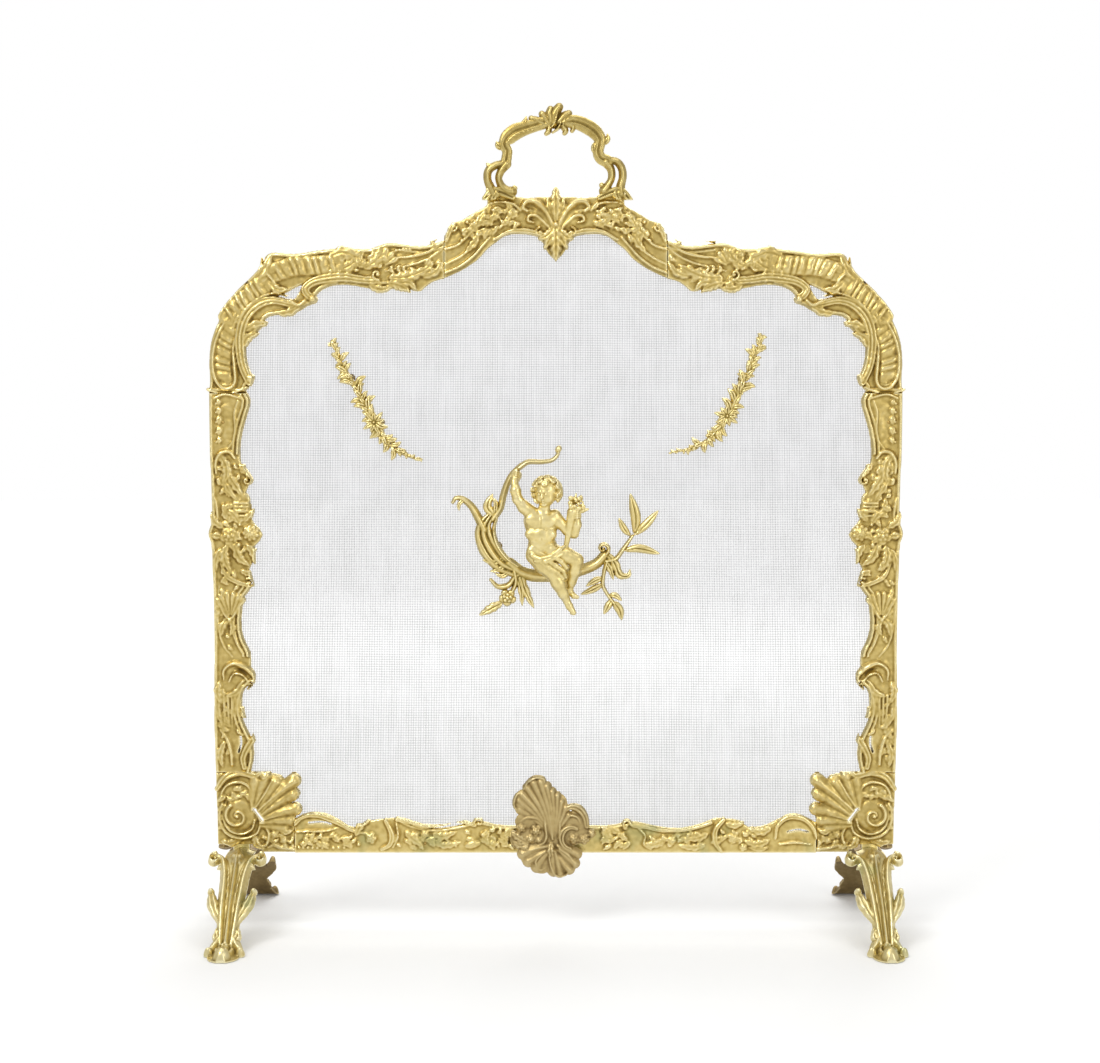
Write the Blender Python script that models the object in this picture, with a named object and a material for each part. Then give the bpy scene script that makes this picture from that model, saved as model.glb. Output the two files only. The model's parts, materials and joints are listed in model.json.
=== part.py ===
"""Brass fireplace screen: a cast frame on four scroll legs, a clamped wire-cloth panel and cast ornaments.

The frame is eight butt-jointed castings. Flat straps behind them bridge the joints and clamp the wire
cloth, held by slotted screws. X runs across the screen, Y from the hearth side (-) to the fire side (+),
and Z up from the floor. The flat back of every casting lies in the plane Y = 0.
"""

import math

import bmesh
import bpy
from mathutils import Vector

# Driving dimensions, in metres.
HALF_WIDTH = 0.328  # centre line to the outer edge of an upright
RAIL_BOTTOM = 0.0715  # underside of the bottom rail
CORNER_BOTTOM = 0.079  # underside of a corner casting, over its leg
CORNER_TOP = 0.150  # joint between corner and upright
UPRIGHT_HEIGHT = 0.364  # from the corner joint to the shoulder joint
CREST_HALF = 0.105  # centre line to the joint between crest and shoulder
CASTING_DEPTH = 0.009  # front to back of the frame castings
HANDLE_HEIGHT = 0.0715  # top of the handle bar's centre line above the crest's top edge
HANDLE_BAR_RADIUS = 0.0045
LEG_REACH = 0.118  # tip of a toe from the screen's middle plane
LEG_INSET = 0.028  # outer edge of an upright to a leg's middle
TANG_THICKNESS = 0.004
TANG_HALF_WIDTH = 0.008
TANG_TOP = 0.108
PANEL_THICKNESS = 0.0006  # wire cloth, over both wires
STRAP_WIDTH = 0.0144
STRAP_THICKNESS = 0.002
SCREW_RADIUS = 0.0015
BOLT_RADIUS = 0.0025
HOLE_ROOM = 0.0003  # a hole's radius beyond its screw's
GAP = 0.0003  # between pieces that touch
SCREW_GRIP = 0.0055  # how far a screw goes into a casting
OVERRUN = 0.001  # how far a drill goes past the face that it leaves

# Heights and depths that follow from them.
SHOULDER_FOOT = CORNER_TOP + UPRIGHT_HEIGHT
CREST_TOP = SHOULDER_FOOT + 0.183
CENTRE_HEIGHT = (RAIL_BOTTOM + CREST_TOP) / 2
PANEL_BACK = GAP + PANEL_THICKNESS
STRAP_FRONT = PANEL_BACK + GAP
STRAP_BACK = STRAP_FRONT + STRAP_THICKNESS
FRONT_TANG = (GAP, GAP + TANG_THICKNESS)
REAR_TANG = (FRONT_TANG[1] + GAP, FRONT_TANG[1] + GAP + TANG_THICKNESS)
PANEL_EDGE_INSET = 0.0165  # outer edge of an upright to the wire cloth's edge
SCREW_OFFSET = 0.0036  # a strap's middle line, which is the cloth's edge, to its screws
LEG_X = HALF_WIDTH - LEG_INSET
TANG_X = LEG_X + 0.004
RAIL_END = HALF_WIDTH - 0.0762  # joint between the bottom rail and a corner
RAIL_STRAP_Z = RAIL_BOTTOM + 0.0125
RAIL_STRAP_END = HALF_WIDTH - 0.048
PALMETTE_FIXING = (-0.004, RAIL_STRAP_Z - SCREW_OFFSET)
NOTCH_TOP = TANG_TOP + 0.0045  # the cloth is cut away below this, beside the tangs
NOTCH_SLOPE = 0.001

# The castings' edges were drawn on a pattern of this size, and stretch with the frame.
PATTERN_HALF_WIDTH = 0.328
PATTERN_HEIGHT = 0.364
PATTERN_HANDLE_HEIGHT = 0.0715
PATTERN_RAIL_END = 0.2518
SHOULDER_STRAIGHT = 0.225  # the shoulder's scrolls lie outside this, and keep their size


def clear_scene():
    for obj in list(bpy.data.objects):
        bpy.data.objects.remove(obj, do_unlink=True)


def new_collection(name):
    made = bpy.data.collections.new(name)
    bpy.context.scene.collection.children.link(made)
    return made


def material(name, colour, roughness, metallic):
    made = bpy.data.materials.new(name)
    made.use_nodes = True
    shader = made.node_tree.nodes["Principled BSDF"]
    shader.inputs["Base Color"].default_value = (*colour, 1)
    shader.inputs["Roughness"].default_value = roughness
    shader.inputs["Metallic"].default_value = metallic
    return made


clear_scene()
SCREEN = new_collection("fireplace_screen")
CUTTERS = new_collection("cutters")
GILT = material("gilt_brass", (0.55, 0.40, 0.15), 0.35, 1.0)
BRIGHT = material("bright_brass", (0.70, 0.55, 0.24), 0.28, 1.0)
DULL = material("dull_brass", (0.42, 0.30, 0.13), 0.45, 1.0)
LEG_BRASS = material("leg_brass", (0.50, 0.42, 0.20), 0.32, 1.0)
CLOTH_WIRE = material("steel_wire_cloth", (0.70, 0.70, 0.70), 0.45, 0.6)
STRAP_BRASS = material("strap_brass", (0.40, 0.30, 0.14), 0.50, 1.0)
SCREW_BRASS = material("screw_brass", (0.48, 0.36, 0.17), 0.40, 1.0)


def add_mesh(name, build, finish, collection=SCREEN):
    """A mesh object whose shape build(bm) makes in a bmesh."""
    bm = bmesh.new()
    build(bm)
    bm.normal_update()
    bmesh.ops.recalc_face_normals(bm, faces=bm.faces)
    mesh = bpy.data.meshes.new(name)
    bm.to_mesh(mesh)
    bm.free()
    obj = bpy.data.objects.new(name, mesh)
    collection.objects.link(obj)
    if finish:
        mesh.materials.append(finish)
    return obj


def as_mesh(curve_object, finish, collection=SCREEN):
    """The curve object as a welded mesh of the same name and place."""
    bpy.context.view_layer.update()
    name = curve_object.name
    graph = bpy.context.evaluated_depsgraph_get()
    mesh = bpy.data.meshes.new_from_object(curve_object.evaluated_get(graph))
    place = curve_object.matrix_world.copy()
    bpy.data.objects.remove(curve_object, do_unlink=True)
    bm = bmesh.new()
    bm.from_mesh(mesh)
    bmesh.ops.remove_doubles(bm, verts=bm.verts, dist=0.00001)
    bmesh.ops.recalc_face_normals(bm, faces=bm.faces)
    bm.to_mesh(mesh)
    bm.free()
    mesh.materials.clear()
    mesh.materials.append(finish)
    obj = bpy.data.objects.new(name, mesh)
    obj.matrix_world = place
    collection.objects.link(obj)
    return obj


def hide_as_cutter(obj):
    obj.hide_render = True
    obj.display_type = "WIRE"


def boolean(target, other, operation):
    modifier = target.modifiers.new(f"{operation.lower()}_{other.name}", "BOOLEAN")
    modifier.operation = operation
    modifier.solver = "EXACT"
    modifier.object = other


def close_spline(curve, points, kind, smooth_between=()):
    spline = curve.splines.new(kind)
    if kind == "POLY":
        spline.points.add(len(points) - 1)
        for point, (x, z) in zip(spline.points, points):
            point.co = (x, z, 0, 1)
    else:
        spline.bezier_points.add(len(points) - 1)
        for index, (point, (x, z)) in enumerate(zip(spline.bezier_points, points)):
            point.co = (x, z, 0)
            handle = "AUTO" if index in smooth_between else "VECTOR"
            point.handle_left_type = handle
            point.handle_right_type = handle
    spline.use_cyclic_u = True


def plate(name, edges, front, back, finish, holes=(), segments=2):
    """A flat piece from Y = front to Y = back. edges are smooth runs of (x, z) points, joined straight."""
    curve = bpy.data.curves.new(name, "CURVE")
    curve.dimensions = "2D"
    curve.fill_mode = "BOTH"
    curve.resolution_u = segments
    curve.extrude = (back - front) / 2
    points = []
    smooth = set()
    for run in edges:
        first = len(points)
        points.extend(run)
        smooth.update(range(first + 1, len(points) - 1))
    close_spline(curve, points, "BEZIER", smooth)
    for hole in holes:
        close_spline(curve, hole, "POLY")
    obj = bpy.data.objects.new(name, curve)
    obj.location.y = (front + back) / 2
    obj.rotation_euler.x = math.pi / 2
    SCREEN.objects.link(obj)
    return as_mesh(obj, finish)


def on_side(side, points):
    """Half-frame points, given as (distance from the centre line, height), on the side -1 or 1."""
    return [(side * u, z) for u, z in points]


def mirrored_closed(points):
    """The points on the right, then their mirror images on the left, in order round the outline."""
    return points + [(-x, z) for x, z in reversed(points) if abs(x) > 1e-6]


def drill(target, places, radius, front, back):
    """Round holes through the target from Y = front to Y = back, at (x, z) places."""

    def build(bm):
        for x, z in places:
            made = bmesh.ops.create_cone(
                bm, cap_ends=True, segments=12, radius1=radius, radius2=radius, depth=back - front
            )
            for vert in made["verts"]:
                along = vert.co.z
                vert.co = Vector((x + vert.co.x, (front + back) / 2 + along, z + vert.co.y))

    cutter = add_mesh(f"{target.name}_hole", build, None, CUTTERS)
    hide_as_cutter(cutter)
    boolean(target, cutter, "DIFFERENCE")


def screw(name, x, z, tip, seat, radius=SCREW_RADIUS, head_radius=0.0028, head_height=0.0017, sides=10):
    """A screw along Y: its point at Y = tip, the underside of its head at Y = seat."""
    slot_depth = head_height * 0.5
    slot_half = head_radius * 0.16

    def build(bm):
        rings = []
        profile = [
            (radius, tip),
            (radius, seat),
            (head_radius, seat),
            (head_radius * 0.85, seat + head_height),
        ]
        for r, y in profile:
            ring = []
            for k in range(sides):
                angle = 2 * math.pi * k / sides
                ring.append(bm.verts.new((x + r * math.cos(angle), y, z + r * math.sin(angle))))
            rings.append(ring)
        for low, high in zip(rings, rings[1:]):
            for k in range(sides):
                bm.faces.new((low[k], low[(k + 1) % sides], high[(k + 1) % sides], high[k]))
        bm.faces.new(rings[0])
        bm.faces.new(rings[-1])

    def slot(bm):
        made = bmesh.ops.create_cube(bm, size=1)
        for vert in made["verts"]:
            vert.co = Vector(
                (
                    x + vert.co.x * head_radius * 2.6,
                    seat + head_height + vert.co.y * slot_depth * 2,
                    z + vert.co.z * slot_half * 2,
                )
            )

    obj = add_mesh(name, build, SCREW_BRASS)
    if sides > 6:
        cutter = add_mesh(f"{name}_slot", slot, None, CUTTERS)
        hide_as_cutter(cutter)
        boolean(obj, cutter, "DIFFERENCE")
    return obj


# Half-frame outlines, as (distance from the centre line, height).


def spread(u):
    """Where a point of the shoulder's pattern goes: its scrolls stay whole and its straight run stretches."""
    if u <= CREST_HALF:
        return u
    outer = HALF_WIDTH - (PATTERN_HALF_WIDTH - SHOULDER_STRAIGHT)
    if u < SHOULDER_STRAIGHT:
        share = (u - CREST_HALF) / (SHOULDER_STRAIGHT - CREST_HALF)
        return CREST_HALF + share * (outer - CREST_HALF)
    return HALF_WIDTH - (PATTERN_HALF_WIDTH - u)


def shoulder_points(points):
    return [(spread(u), SHOULDER_FOOT + h) for u, h in points]


SHOULDER_OUTER = [
    (0.3280, 0.0003), (0.3270, 0.011), (0.3275, 0.026), (0.3265, 0.041), (0.3245, 0.051),
    (0.3175, 0.068), (0.3075, 0.083), (0.2945, 0.097), (0.2825, 0.108), (0.2750, 0.118),
    (0.2735, 0.127), (0.2675, 0.1310), (0.2575, 0.1310), (0.2460, 0.1300), (0.2260, 0.1330),
    (0.2000, 0.1355), (0.1740, 0.1350), (0.1600, 0.1400), (0.1420, 0.1390), (0.1280, 0.1375),
    (0.1150, 0.1395), (0.1053, 0.1430),
]
SHOULDER_INNER = [
    (0.1053, 0.1070), (0.1160, 0.1040), (0.1230, 0.0990), (0.1270, 0.0955), (0.1340, 0.0955),
    (0.1400, 0.0980), (0.1560, 0.0970), (0.1720, 0.0970), (0.1880, 0.1000), (0.2060, 0.1010),
    (0.2200, 0.0965), (0.2255, 0.0910), (0.2275, 0.0840), (0.2340, 0.0815), (0.2400, 0.0775),
    (0.2510, 0.0740), (0.2655, 0.0725), (0.2735, 0.0695), (0.2765, 0.0620), (0.2835, 0.0555),
    (0.2900, 0.0500), (0.2940, 0.0400), (0.2930, 0.0270), (0.2880, 0.0180), (0.2895, 0.0100),
    (0.2930, 0.0050), (0.2925, 0.0003),
]
SHOULDER_PIERCING = [
    (0.2635, 0.0870), (0.2620, 0.0905), (0.2535, 0.0940), (0.2455, 0.0985),
    (0.2385, 0.1015), (0.2415, 0.0950), (0.2455, 0.0885), (0.2525, 0.0865),
]

# (height above the corner joint, depth in from the upright's outer edge)
UPRIGHT_OUTER = [
    (0.0003, 0.0010), (0.050, 0.0000), (0.130, 0.0015), (0.205, 0.0005), (0.222, -0.0005),
    (0.230, -0.0030), (0.238, -0.0005), (0.250, 0.0010), (0.310, -0.0005), (0.3637, 0.0000),
]
UPRIGHT_INNER = [
    (0.3637, 0.0360), (0.357, 0.0390), (0.344, 0.0360), (0.329, 0.0315), (0.309, 0.0285),
    (0.291, 0.0310), (0.281, 0.0375), (0.271, 0.0340), (0.263, 0.0345), (0.258, 0.0385),
    (0.245, 0.0385), (0.240, 0.0410), (0.229, 0.0490), (0.218, 0.0410), (0.212, 0.0385),
    (0.202, 0.0385), (0.192, 0.0340), (0.179, 0.0375), (0.170, 0.0310), (0.154, 0.0280),
    (0.139, 0.0275), (0.125, 0.0315), (0.117, 0.0355), (0.100, 0.0360), (0.088, 0.0365),
    (0.081, 0.0300), (0.070, 0.0262), (0.058, 0.0260), (0.045, 0.0300), (0.033, 0.0355),
    (0.018, 0.0380), (0.006, 0.0360), (0.0003, 0.0345),
]
UPRIGHT_SLOT = [(0.034, 0.0225), (0.033, 0.0245), (0.014, 0.0270), (0.013, 0.0245)]

# (distance in from the upright's outer edge, height)
CORNER_EDGE = [
    (0.0345, 0.1497), (0.0400, 0.1465), (0.0460, 0.1430), (0.0500, 0.1445), (0.0545, 0.1485),
    (0.0590, 0.1480), (0.0640, 0.1430), (0.0700, 0.1450), (0.0785, 0.1450), (0.0790, 0.1400),
    (0.0720, 0.1300), (0.0680, 0.1225), (0.0715, 0.1200), (0.0775, 0.1160), (0.0765, 0.1100),
    (0.0750, 0.1070), (0.0759, 0.1010),
]
CORNER_PIERCING = [(0.0330, 0.1120), (0.0425, 0.1100), (0.0430, 0.1015), (0.0375, 0.1040)]

# (distance from the centre line, height), drawn for a rail that ends at PATTERN_RAIL_END
RAIL_TOP_EDGE = [
    (0.2518, 0.1000), (0.2430, 0.1055), (0.2330, 0.1075), (0.2150, 0.1040), (0.2040, 0.0985),
    (0.1860, 0.0962), (0.1780, 0.1025), (0.1640, 0.1040), (0.1550, 0.1050), (0.1400, 0.0990),
    (0.1200, 0.0950), (0.1000, 0.0965), (0.0820, 0.1005), (0.0700, 0.1015), (0.0580, 0.0985),
    (0.0400, 0.0975), (0.0200, 0.0980),
]
RAIL_SLOT = [(0.2385, 0.0985), (0.2290, 0.1005), (0.2200, 0.0975), (0.2290, 0.0955)]

CREST_UPPER = [
    (0.1047, 0.1435), (0.0990, 0.1495), (0.0970, 0.1580), (0.0880, 0.1615), (0.0800, 0.1665),
    (0.0700, 0.1720), (0.0650, 0.1750), (0.0620, 0.1810), (0.0560, 0.1828), (0.0410, 0.1830),
    (0.0200, 0.1825), (0.0120, 0.1840), (0.0060, 0.1890), (0.0, 0.1920),
]
CREST_LOWER = [
    (0.0, 0.1250), (0.0050, 0.1280), (0.0095, 0.1345), (0.0140, 0.1430), (0.0220, 0.1475),
    (0.0340, 0.1490), (0.0460, 0.1475), (0.0560, 0.1410), (0.0650, 0.1340), (0.0720, 0.1260),
    (0.0800, 0.1200), (0.0900, 0.1140), (0.1047, 0.1075),
]
STRAP_RUN = [
    (0.3115, -0.040), (0.3115, 0.000), (0.3115, 0.032), (0.3065, 0.051), (0.2980, 0.066),
    (0.2880, 0.083), (0.2770, 0.101), (0.2650, 0.1105), (0.2450, 0.1155), (0.2200, 0.1175),
    (0.1900, 0.1185), (0.1500, 0.1190), (0.1200, 0.1225), (0.1050, 0.1265), (0.0850, 0.1370),
]
CREST_STRAP_RUN = [(0.0780, 0.1410), (0.0600, 0.1510), (0.0400, 0.1565), (0.0200, 0.1580), (0.0, 0.1580)]


def upright_points(points):
    stretch = UPRIGHT_HEIGHT / PATTERN_HEIGHT
    ends = (GAP, PATTERN_HEIGHT - GAP)
    made = []
    for height, depth in points:
        grown = height * stretch
        if height == ends[0] or height == ends[1]:
            grown = GAP if height == ends[0] else UPRIGHT_HEIGHT - GAP
        made.append((HALF_WIDTH - depth, CORNER_TOP + grown))
    return made


def corner_points(points):
    return [(HALF_WIDTH - depth, height) for depth, height in points]


def rail_points(points):
    stretch = (RAIL_END - GAP) / PATTERN_RAIL_END
    return [(u * stretch, height) for u, height in points]


def crest_points(points):
    return [(u, SHOULDER_FOOT + h) for u, h in points]


def cast_rails():
    front = -CASTING_DEPTH
    made = {}
    for side, word in ((-1, "left"), (1, "right")):
        made[f"{word}_shoulder_rail"] = plate(
            f"{word}_shoulder_rail",
            [on_side(side, shoulder_points(SHOULDER_OUTER)), on_side(side, shoulder_points(SHOULDER_INNER))],
            front,
            0,
            GILT,
            [on_side(side, shoulder_points(SHOULDER_PIERCING))],
        )
        made[f"{word}_upright"] = plate(
            f"{word}_upright",
            [on_side(side, upright_points(UPRIGHT_OUTER)), on_side(side, upright_points(UPRIGHT_INNER))],
            front,
            0,
            GILT,
            [on_side(side, upright_points(UPRIGHT_SLOT))],
        )
        sole = [
            (RAIL_END, RAIL_BOTTOM),
            (LEG_X - 0.017, RAIL_BOTTOM),
            (LEG_X - 0.016, CORNER_BOTTOM),
            (HALF_WIDTH - 0.002, CORNER_BOTTOM),
            (HALF_WIDTH - 0.001, CORNER_TOP - GAP),
        ]
        made[f"{word}_corner"] = plate(
            f"{word}_corner",
            [on_side(side, corner_points(CORNER_EDGE))] + [[point] for point in on_side(side, sole)],
            front,
            0,
            GILT,
            [on_side(side, corner_points(CORNER_PIERCING))],
        )
    underside = [(-RAIL_END + GAP, RAIL_BOTTOM), (RAIL_END - GAP, RAIL_BOTTOM)]
    made["bottom_rail"] = plate(
        "bottom_rail",
        [mirrored_closed(rail_points(RAIL_TOP_EDGE))] + [[point] for point in underside],
        front,
        0,
        DULL,
        [on_side(side, rail_points(RAIL_SLOT)) for side in (-1, 1)],
    )
    upper = crest_points(CREST_UPPER)
    lower = crest_points(CREST_LOWER)
    made["crest_rail"] = plate(
        "crest_rail",
        [mirrored_closed(upper), [(-x, z) for x, z in reversed(lower)] + lower[1:]],
        front,
        0,
        GILT,
    )
    return made


def ribbon(path, width):
    """The outline of a strip of the given width along a path of (x, z) points."""
    left = []
    right = []
    for index, point in enumerate(path):
        before = Vector(path[max(index - 1, 0)])
        after = Vector(path[min(index + 1, len(path) - 1)])
        along = (after - before).normalized()
        across = Vector((-along.y, along.x)) * width / 2
        left.append(tuple(Vector(point) + across))
        right.append(tuple(Vector(point) - across))
    return left + right[::-1]


def beside(path, index, distance):
    """A point at a distance to the outer side of a strap's middle line, away from the panel's middle."""
    here = Vector(path[index])
    along = (Vector(path[min(index + 1, len(path) - 1)]) - Vector(path[max(index - 1, 0)])).normalized()
    across = Vector((-along.y, along.x))
    if across.dot(here - Vector((0, CENTRE_HEIGHT))) < 0:
        across = -across
    return tuple(here + across * distance)


def strap(name, path):
    outline = ribbon(path, STRAP_WIDTH)
    return plate(name, [[point] for point in outline], STRAP_FRONT, STRAP_BACK, STRAP_BRASS)


def wire_cloth():
    side = [(RAIL_STRAP_END + 0.001, RAIL_STRAP_Z), (RAIL_STRAP_END + 0.001, NOTCH_TOP)]
    side.append((HALF_WIDTH - PANEL_EDGE_INSET, NOTCH_TOP + NOTCH_SLOPE))
    side += shoulder_points(STRAP_RUN[1:]) + crest_points(CREST_STRAP_RUN)
    outline = mirrored_closed(side)
    return plate("wire_cloth_panel", [[point] for point in outline], GAP, PANEL_BACK, CLOTH_WIRE)


def clamp_straps(castings):
    """The straps, and their screws through them into the castings. Returns the straps."""
    into = {name: [] for name in castings}
    screws = []
    edge = HALF_WIDTH - PANEL_EDGE_INSET
    for side, word in ((-1, "left"), (1, "right")):
        low, high = CORNER_TOP - 0.032, SHOULDER_FOOT - 0.043
        x = side * edge
        straight = [(x, low), (x, high)]
        outer = x + side * SCREW_OFFSET
        fixings = [
            (outer, low + 0.010, f"{word}_corner"),
            (outer, (low + high) / 2, f"{word}_upright"),
            (outer, high - 0.012, f"{word}_upright"),
        ]
        screws.append((strap(f"{word}_side_strap", straight), fixings))
        curved = on_side(side, shoulder_points(STRAP_RUN))
        start = (curved[0][0] + side * SCREW_OFFSET, curved[0][1] + 0.012)
        fixings = [
            (*start, f"{word}_upright"),
            (*beside(curved, 4, SCREW_OFFSET), f"{word}_shoulder_rail"),
            (*beside(curved, 10, SCREW_OFFSET), f"{word}_shoulder_rail"),
            (side * (CREST_HALF - 0.014), SHOULDER_FOOT + 0.1385, "crest_rail"),
        ]
        screws.append((strap(f"{word}_shoulder_strap", curved), fixings))
    half = crest_points(CREST_STRAP_RUN)
    whole = half + [(-x, z) for x, z in reversed(half[:-1])]
    fixings = [(*beside(whole, index, SCREW_OFFSET), "crest_rail") for index in (2, 6)]
    screws.append((strap("crest_strap", whole), fixings))
    level = [(-RAIL_STRAP_END, RAIL_STRAP_Z), (RAIL_STRAP_END, RAIL_STRAP_Z)]
    low = RAIL_STRAP_Z - SCREW_OFFSET
    fixings = [
        (-RAIL_STRAP_END + 0.012, low, "left_corner"),
        (-RAIL_END / 2, low, "bottom_rail"),
        (RAIL_END / 2, low, "bottom_rail"),
        (RAIL_STRAP_END - 0.012, low, "right_corner"),
    ]
    screws.append((strap("bottom_strap", level), fixings))
    for clamp, fixings in screws:
        holes = [(x, z) for x, z, _ in fixings]
        if clamp.name == "bottom_strap":
            holes.append(PALMETTE_FIXING)
        drill(clamp, holes, SCREW_RADIUS + HOLE_ROOM, STRAP_FRONT - OVERRUN, STRAP_BACK + OVERRUN)
        for number, (x, z, casting) in enumerate(fixings, 1):
            into[casting].append((x, z))
            screw(f"{clamp.name}_screw_{number}", x, z, -SCREW_GRIP + GAP, STRAP_BACK + GAP)
    return into


def palmette():
    """The shell mount in front of the bottom rail, and its screw, through the strap and the rail."""
    outline = [
        (-0.0375, 0.0705), (-0.0300, 0.0675), (-0.0235, 0.0655), (-0.0215, 0.0610), (-0.0170, 0.0570),
        (-0.0125, 0.0555), (-0.0060, 0.0565), (-0.0035, 0.0520), (0.0025, 0.0485), (0.0095, 0.0490),
        (0.0155, 0.0530), (0.0160, 0.0580), (0.0135, 0.0620), (0.0190, 0.0680), (0.0220, 0.0730),
        (0.0290, 0.0790), (0.0310, 0.0870), (0.0290, 0.0950), (0.0270, 0.1030), (0.0205, 0.1140),
        (0.0135, 0.1175), (0.0075, 0.1170), (0.0060, 0.1220), (0.0020, 0.1260), (-0.0020, 0.1280),
        (-0.0040, 0.1350), (-0.0090, 0.1375), (-0.0120, 0.1430), (-0.0165, 0.1435), (-0.0220, 0.1390),
        (-0.0260, 0.1310), (-0.0290, 0.1290), (-0.0340, 0.1300), (-0.0360, 0.1240), (-0.0345, 0.1170),
        (-0.0355, 0.1110), (-0.0400, 0.1050), (-0.0425, 0.0960), (-0.0415, 0.0800),
    ]
    back = -CASTING_DEPTH - GAP
    mount = plate("bottom_palmette", [outline], back - 0.006, back, DULL)
    drill(mount, [PALMETTE_FIXING], SCREW_RADIUS + HOLE_ROOM, back - 0.004, back + OVERRUN)
    screw("palmette_screw", *PALMETTE_FIXING, back - 0.0035, STRAP_BACK + GAP)


def rod(name, path, radius, finish, collection=SCREEN, sides=2):
    """A round bar along (x, y, z, thickness factor) points, as a welded mesh."""
    curve = bpy.data.curves.new(name, "CURVE")
    curve.dimensions = "3D"
    curve.resolution_u = 2
    curve.bevel_depth = radius
    curve.bevel_resolution = sides
    curve.use_fill_caps = True
    spline = curve.splines.new("BEZIER")
    spline.bezier_points.add(len(path) - 1)
    for point, (x, y, z, factor) in zip(spline.bezier_points, path):
        point.co = (x, y, z)
        point.radius = factor
        point.handle_left_type = "AUTO"
        point.handle_right_type = "AUTO"
    obj = bpy.data.objects.new(name, curve)
    collection.objects.link(obj)
    return as_mesh(obj, finish, collection)


def block(name, low, high, collection=CUTTERS):
    def build(bm):
        made = bmesh.ops.create_cube(bm, size=1)
        middle = (Vector(low) + Vector(high)) / 2
        size = Vector(high) - Vector(low)
        for vert in made["verts"]:
            vert.co = middle + Vector(a * b for a, b in zip(vert.co, size))

    made = add_mesh(name, build, None, collection)
    if collection == CUTTERS:
        hide_as_cutter(made)
    return made


def carrying_handle():
    """The cast bail on the crest, with a tab behind the crest at each foot, and its two screws."""
    rise = HANDLE_HEIGHT / PATTERN_HANDLE_HEIGHT
    y = -CASTING_DEPTH / 2
    half = [
        (0.0600, 0.0060), (0.0620, 0.0180), (0.0570, 0.0270), (0.0490, 0.0355), (0.0475, 0.0440),
        (0.0500, 0.0510), (0.0450, 0.0580), (0.0350, 0.0635), (0.0200, 0.0690),
    ]
    left = [(-u, y, CREST_TOP + h * rise, 1) for u, h in half]
    right = [(u, y, CREST_TOP + h * rise, 1) for u, h in reversed(half)]
    path = left + [(0, y, CREST_TOP + HANDLE_HEIGHT, 1)] + right
    bail = rod("carrying_handle", path, HANDLE_BAR_RADIUS, GILT)
    top = CREST_TOP + HANDLE_HEIGHT
    finial = rod(
        "handle_finial",
        [(0, y, top - 0.002, 1), (0, y, top + 0.008, 0.9), (0, y, top + 0.0150, 0.25)],
        0.0055,
        GILT,
        CUTTERS,
    )
    hide_as_cutter(finial)
    boolean(bail, finial, "UNION")
    screw_height = CREST_TOP - 0.0090
    back = STRAP_BACK
    places = []
    for side, word in ((-1, "left"), (1, "right")):
        x = side * 0.0595
        foot = block(
            f"handle_{word}_foot",
            (x - 0.0060, y - 0.0035, CREST_TOP + GAP),
            (x + 0.0060, back, CREST_TOP + 0.0080),
        )
        tab = block(
            f"handle_{word}_tab",
            (x - 0.0050, GAP, screw_height - 0.0055),
            (x + 0.0050, back - 0.0002, CREST_TOP + 0.0060),
        )
        boolean(bail, foot, "UNION")
        boolean(bail, tab, "UNION")
        places.append((x, screw_height))
        screw(f"handle_{word}_screw", x, screw_height, -SCREW_GRIP + GAP, back + GAP)
    drill(bail, places, SCREW_RADIUS + HOLE_ROOM, GAP / 2, back + OVERRUN)
    return places


# A leg's stations: share of the reach, height, half width, half thickness.
LEG_STATIONS = [
    (0.085, 0.0732, 0.0125, 0.0054), (0.205, 0.0745, 0.0240, 0.0075), (0.305, 0.0675, 0.0150, 0.0070),
    (0.405, 0.0570, 0.0140, 0.0065), (0.510, 0.0485, 0.0220, 0.0055), (0.610, 0.0370, 0.0125, 0.0055),
    (0.720, 0.0220, 0.0105, 0.0065), (0.820, 0.0085, 0.0155, 0.0105), (0.930, 0.0070, 0.0165, 0.0085),
    (1.000, 0.0060, 0.0100, 0.0055),
]


def scroll_leg(name, x, tang_x, direction, tang):
    """A leg that reaches to Y = direction * LEG_REACH, with its tang between the two Y values given."""
    sides = 12
    start = (tang[0] + tang[1]) / 2

    def build(bm):
        centres = [(start, 0.0732, 0.0125, 0.0054)]
        centres += [(direction * share * LEG_REACH, z, w, t) for share, z, w, t in LEG_STATIONS]
        rings = []
        for index, (y, z, half_width, half_thickness) in enumerate(centres):
            before = centres[max(index - 1, 0)]
            after = centres[min(index + 1, len(centres) - 1)]
            along = Vector((after[0] - before[0], after[1] - before[1])).normalized()
            if index in (0, 1, len(centres) - 1):
                along = Vector((direction, 0))
            normal = Vector((-along.y, along.x)) * direction
            ring = []
            for k in range(sides):
                angle = 2 * math.pi * k / sides
                lift = half_thickness * math.sin(angle)
                place = Vector((y, z)) + normal * lift
                ring.append(bm.verts.new((x + half_width * math.cos(angle), place.x, max(place.y, 0.0))))
            rings.append(ring)
        for low, high in zip(rings, rings[1:]):
            for k in range(sides):
                bm.faces.new((low[k], low[(k + 1) % sides], high[(k + 1) % sides], high[k]))
        bm.faces.new(rings[0])
        bm.faces.new(rings[-1])

    leg = add_mesh(name, build, LEG_BRASS)
    plate_piece = block(
        f"{name}_tang",
        (tang_x - TANG_HALF_WIDTH, tang[0], 0.0725),
        (tang_x + TANG_HALF_WIDTH, tang[1], TANG_TOP),
    )
    boolean(leg, plate_piece, "UNION")
    return leg


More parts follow.
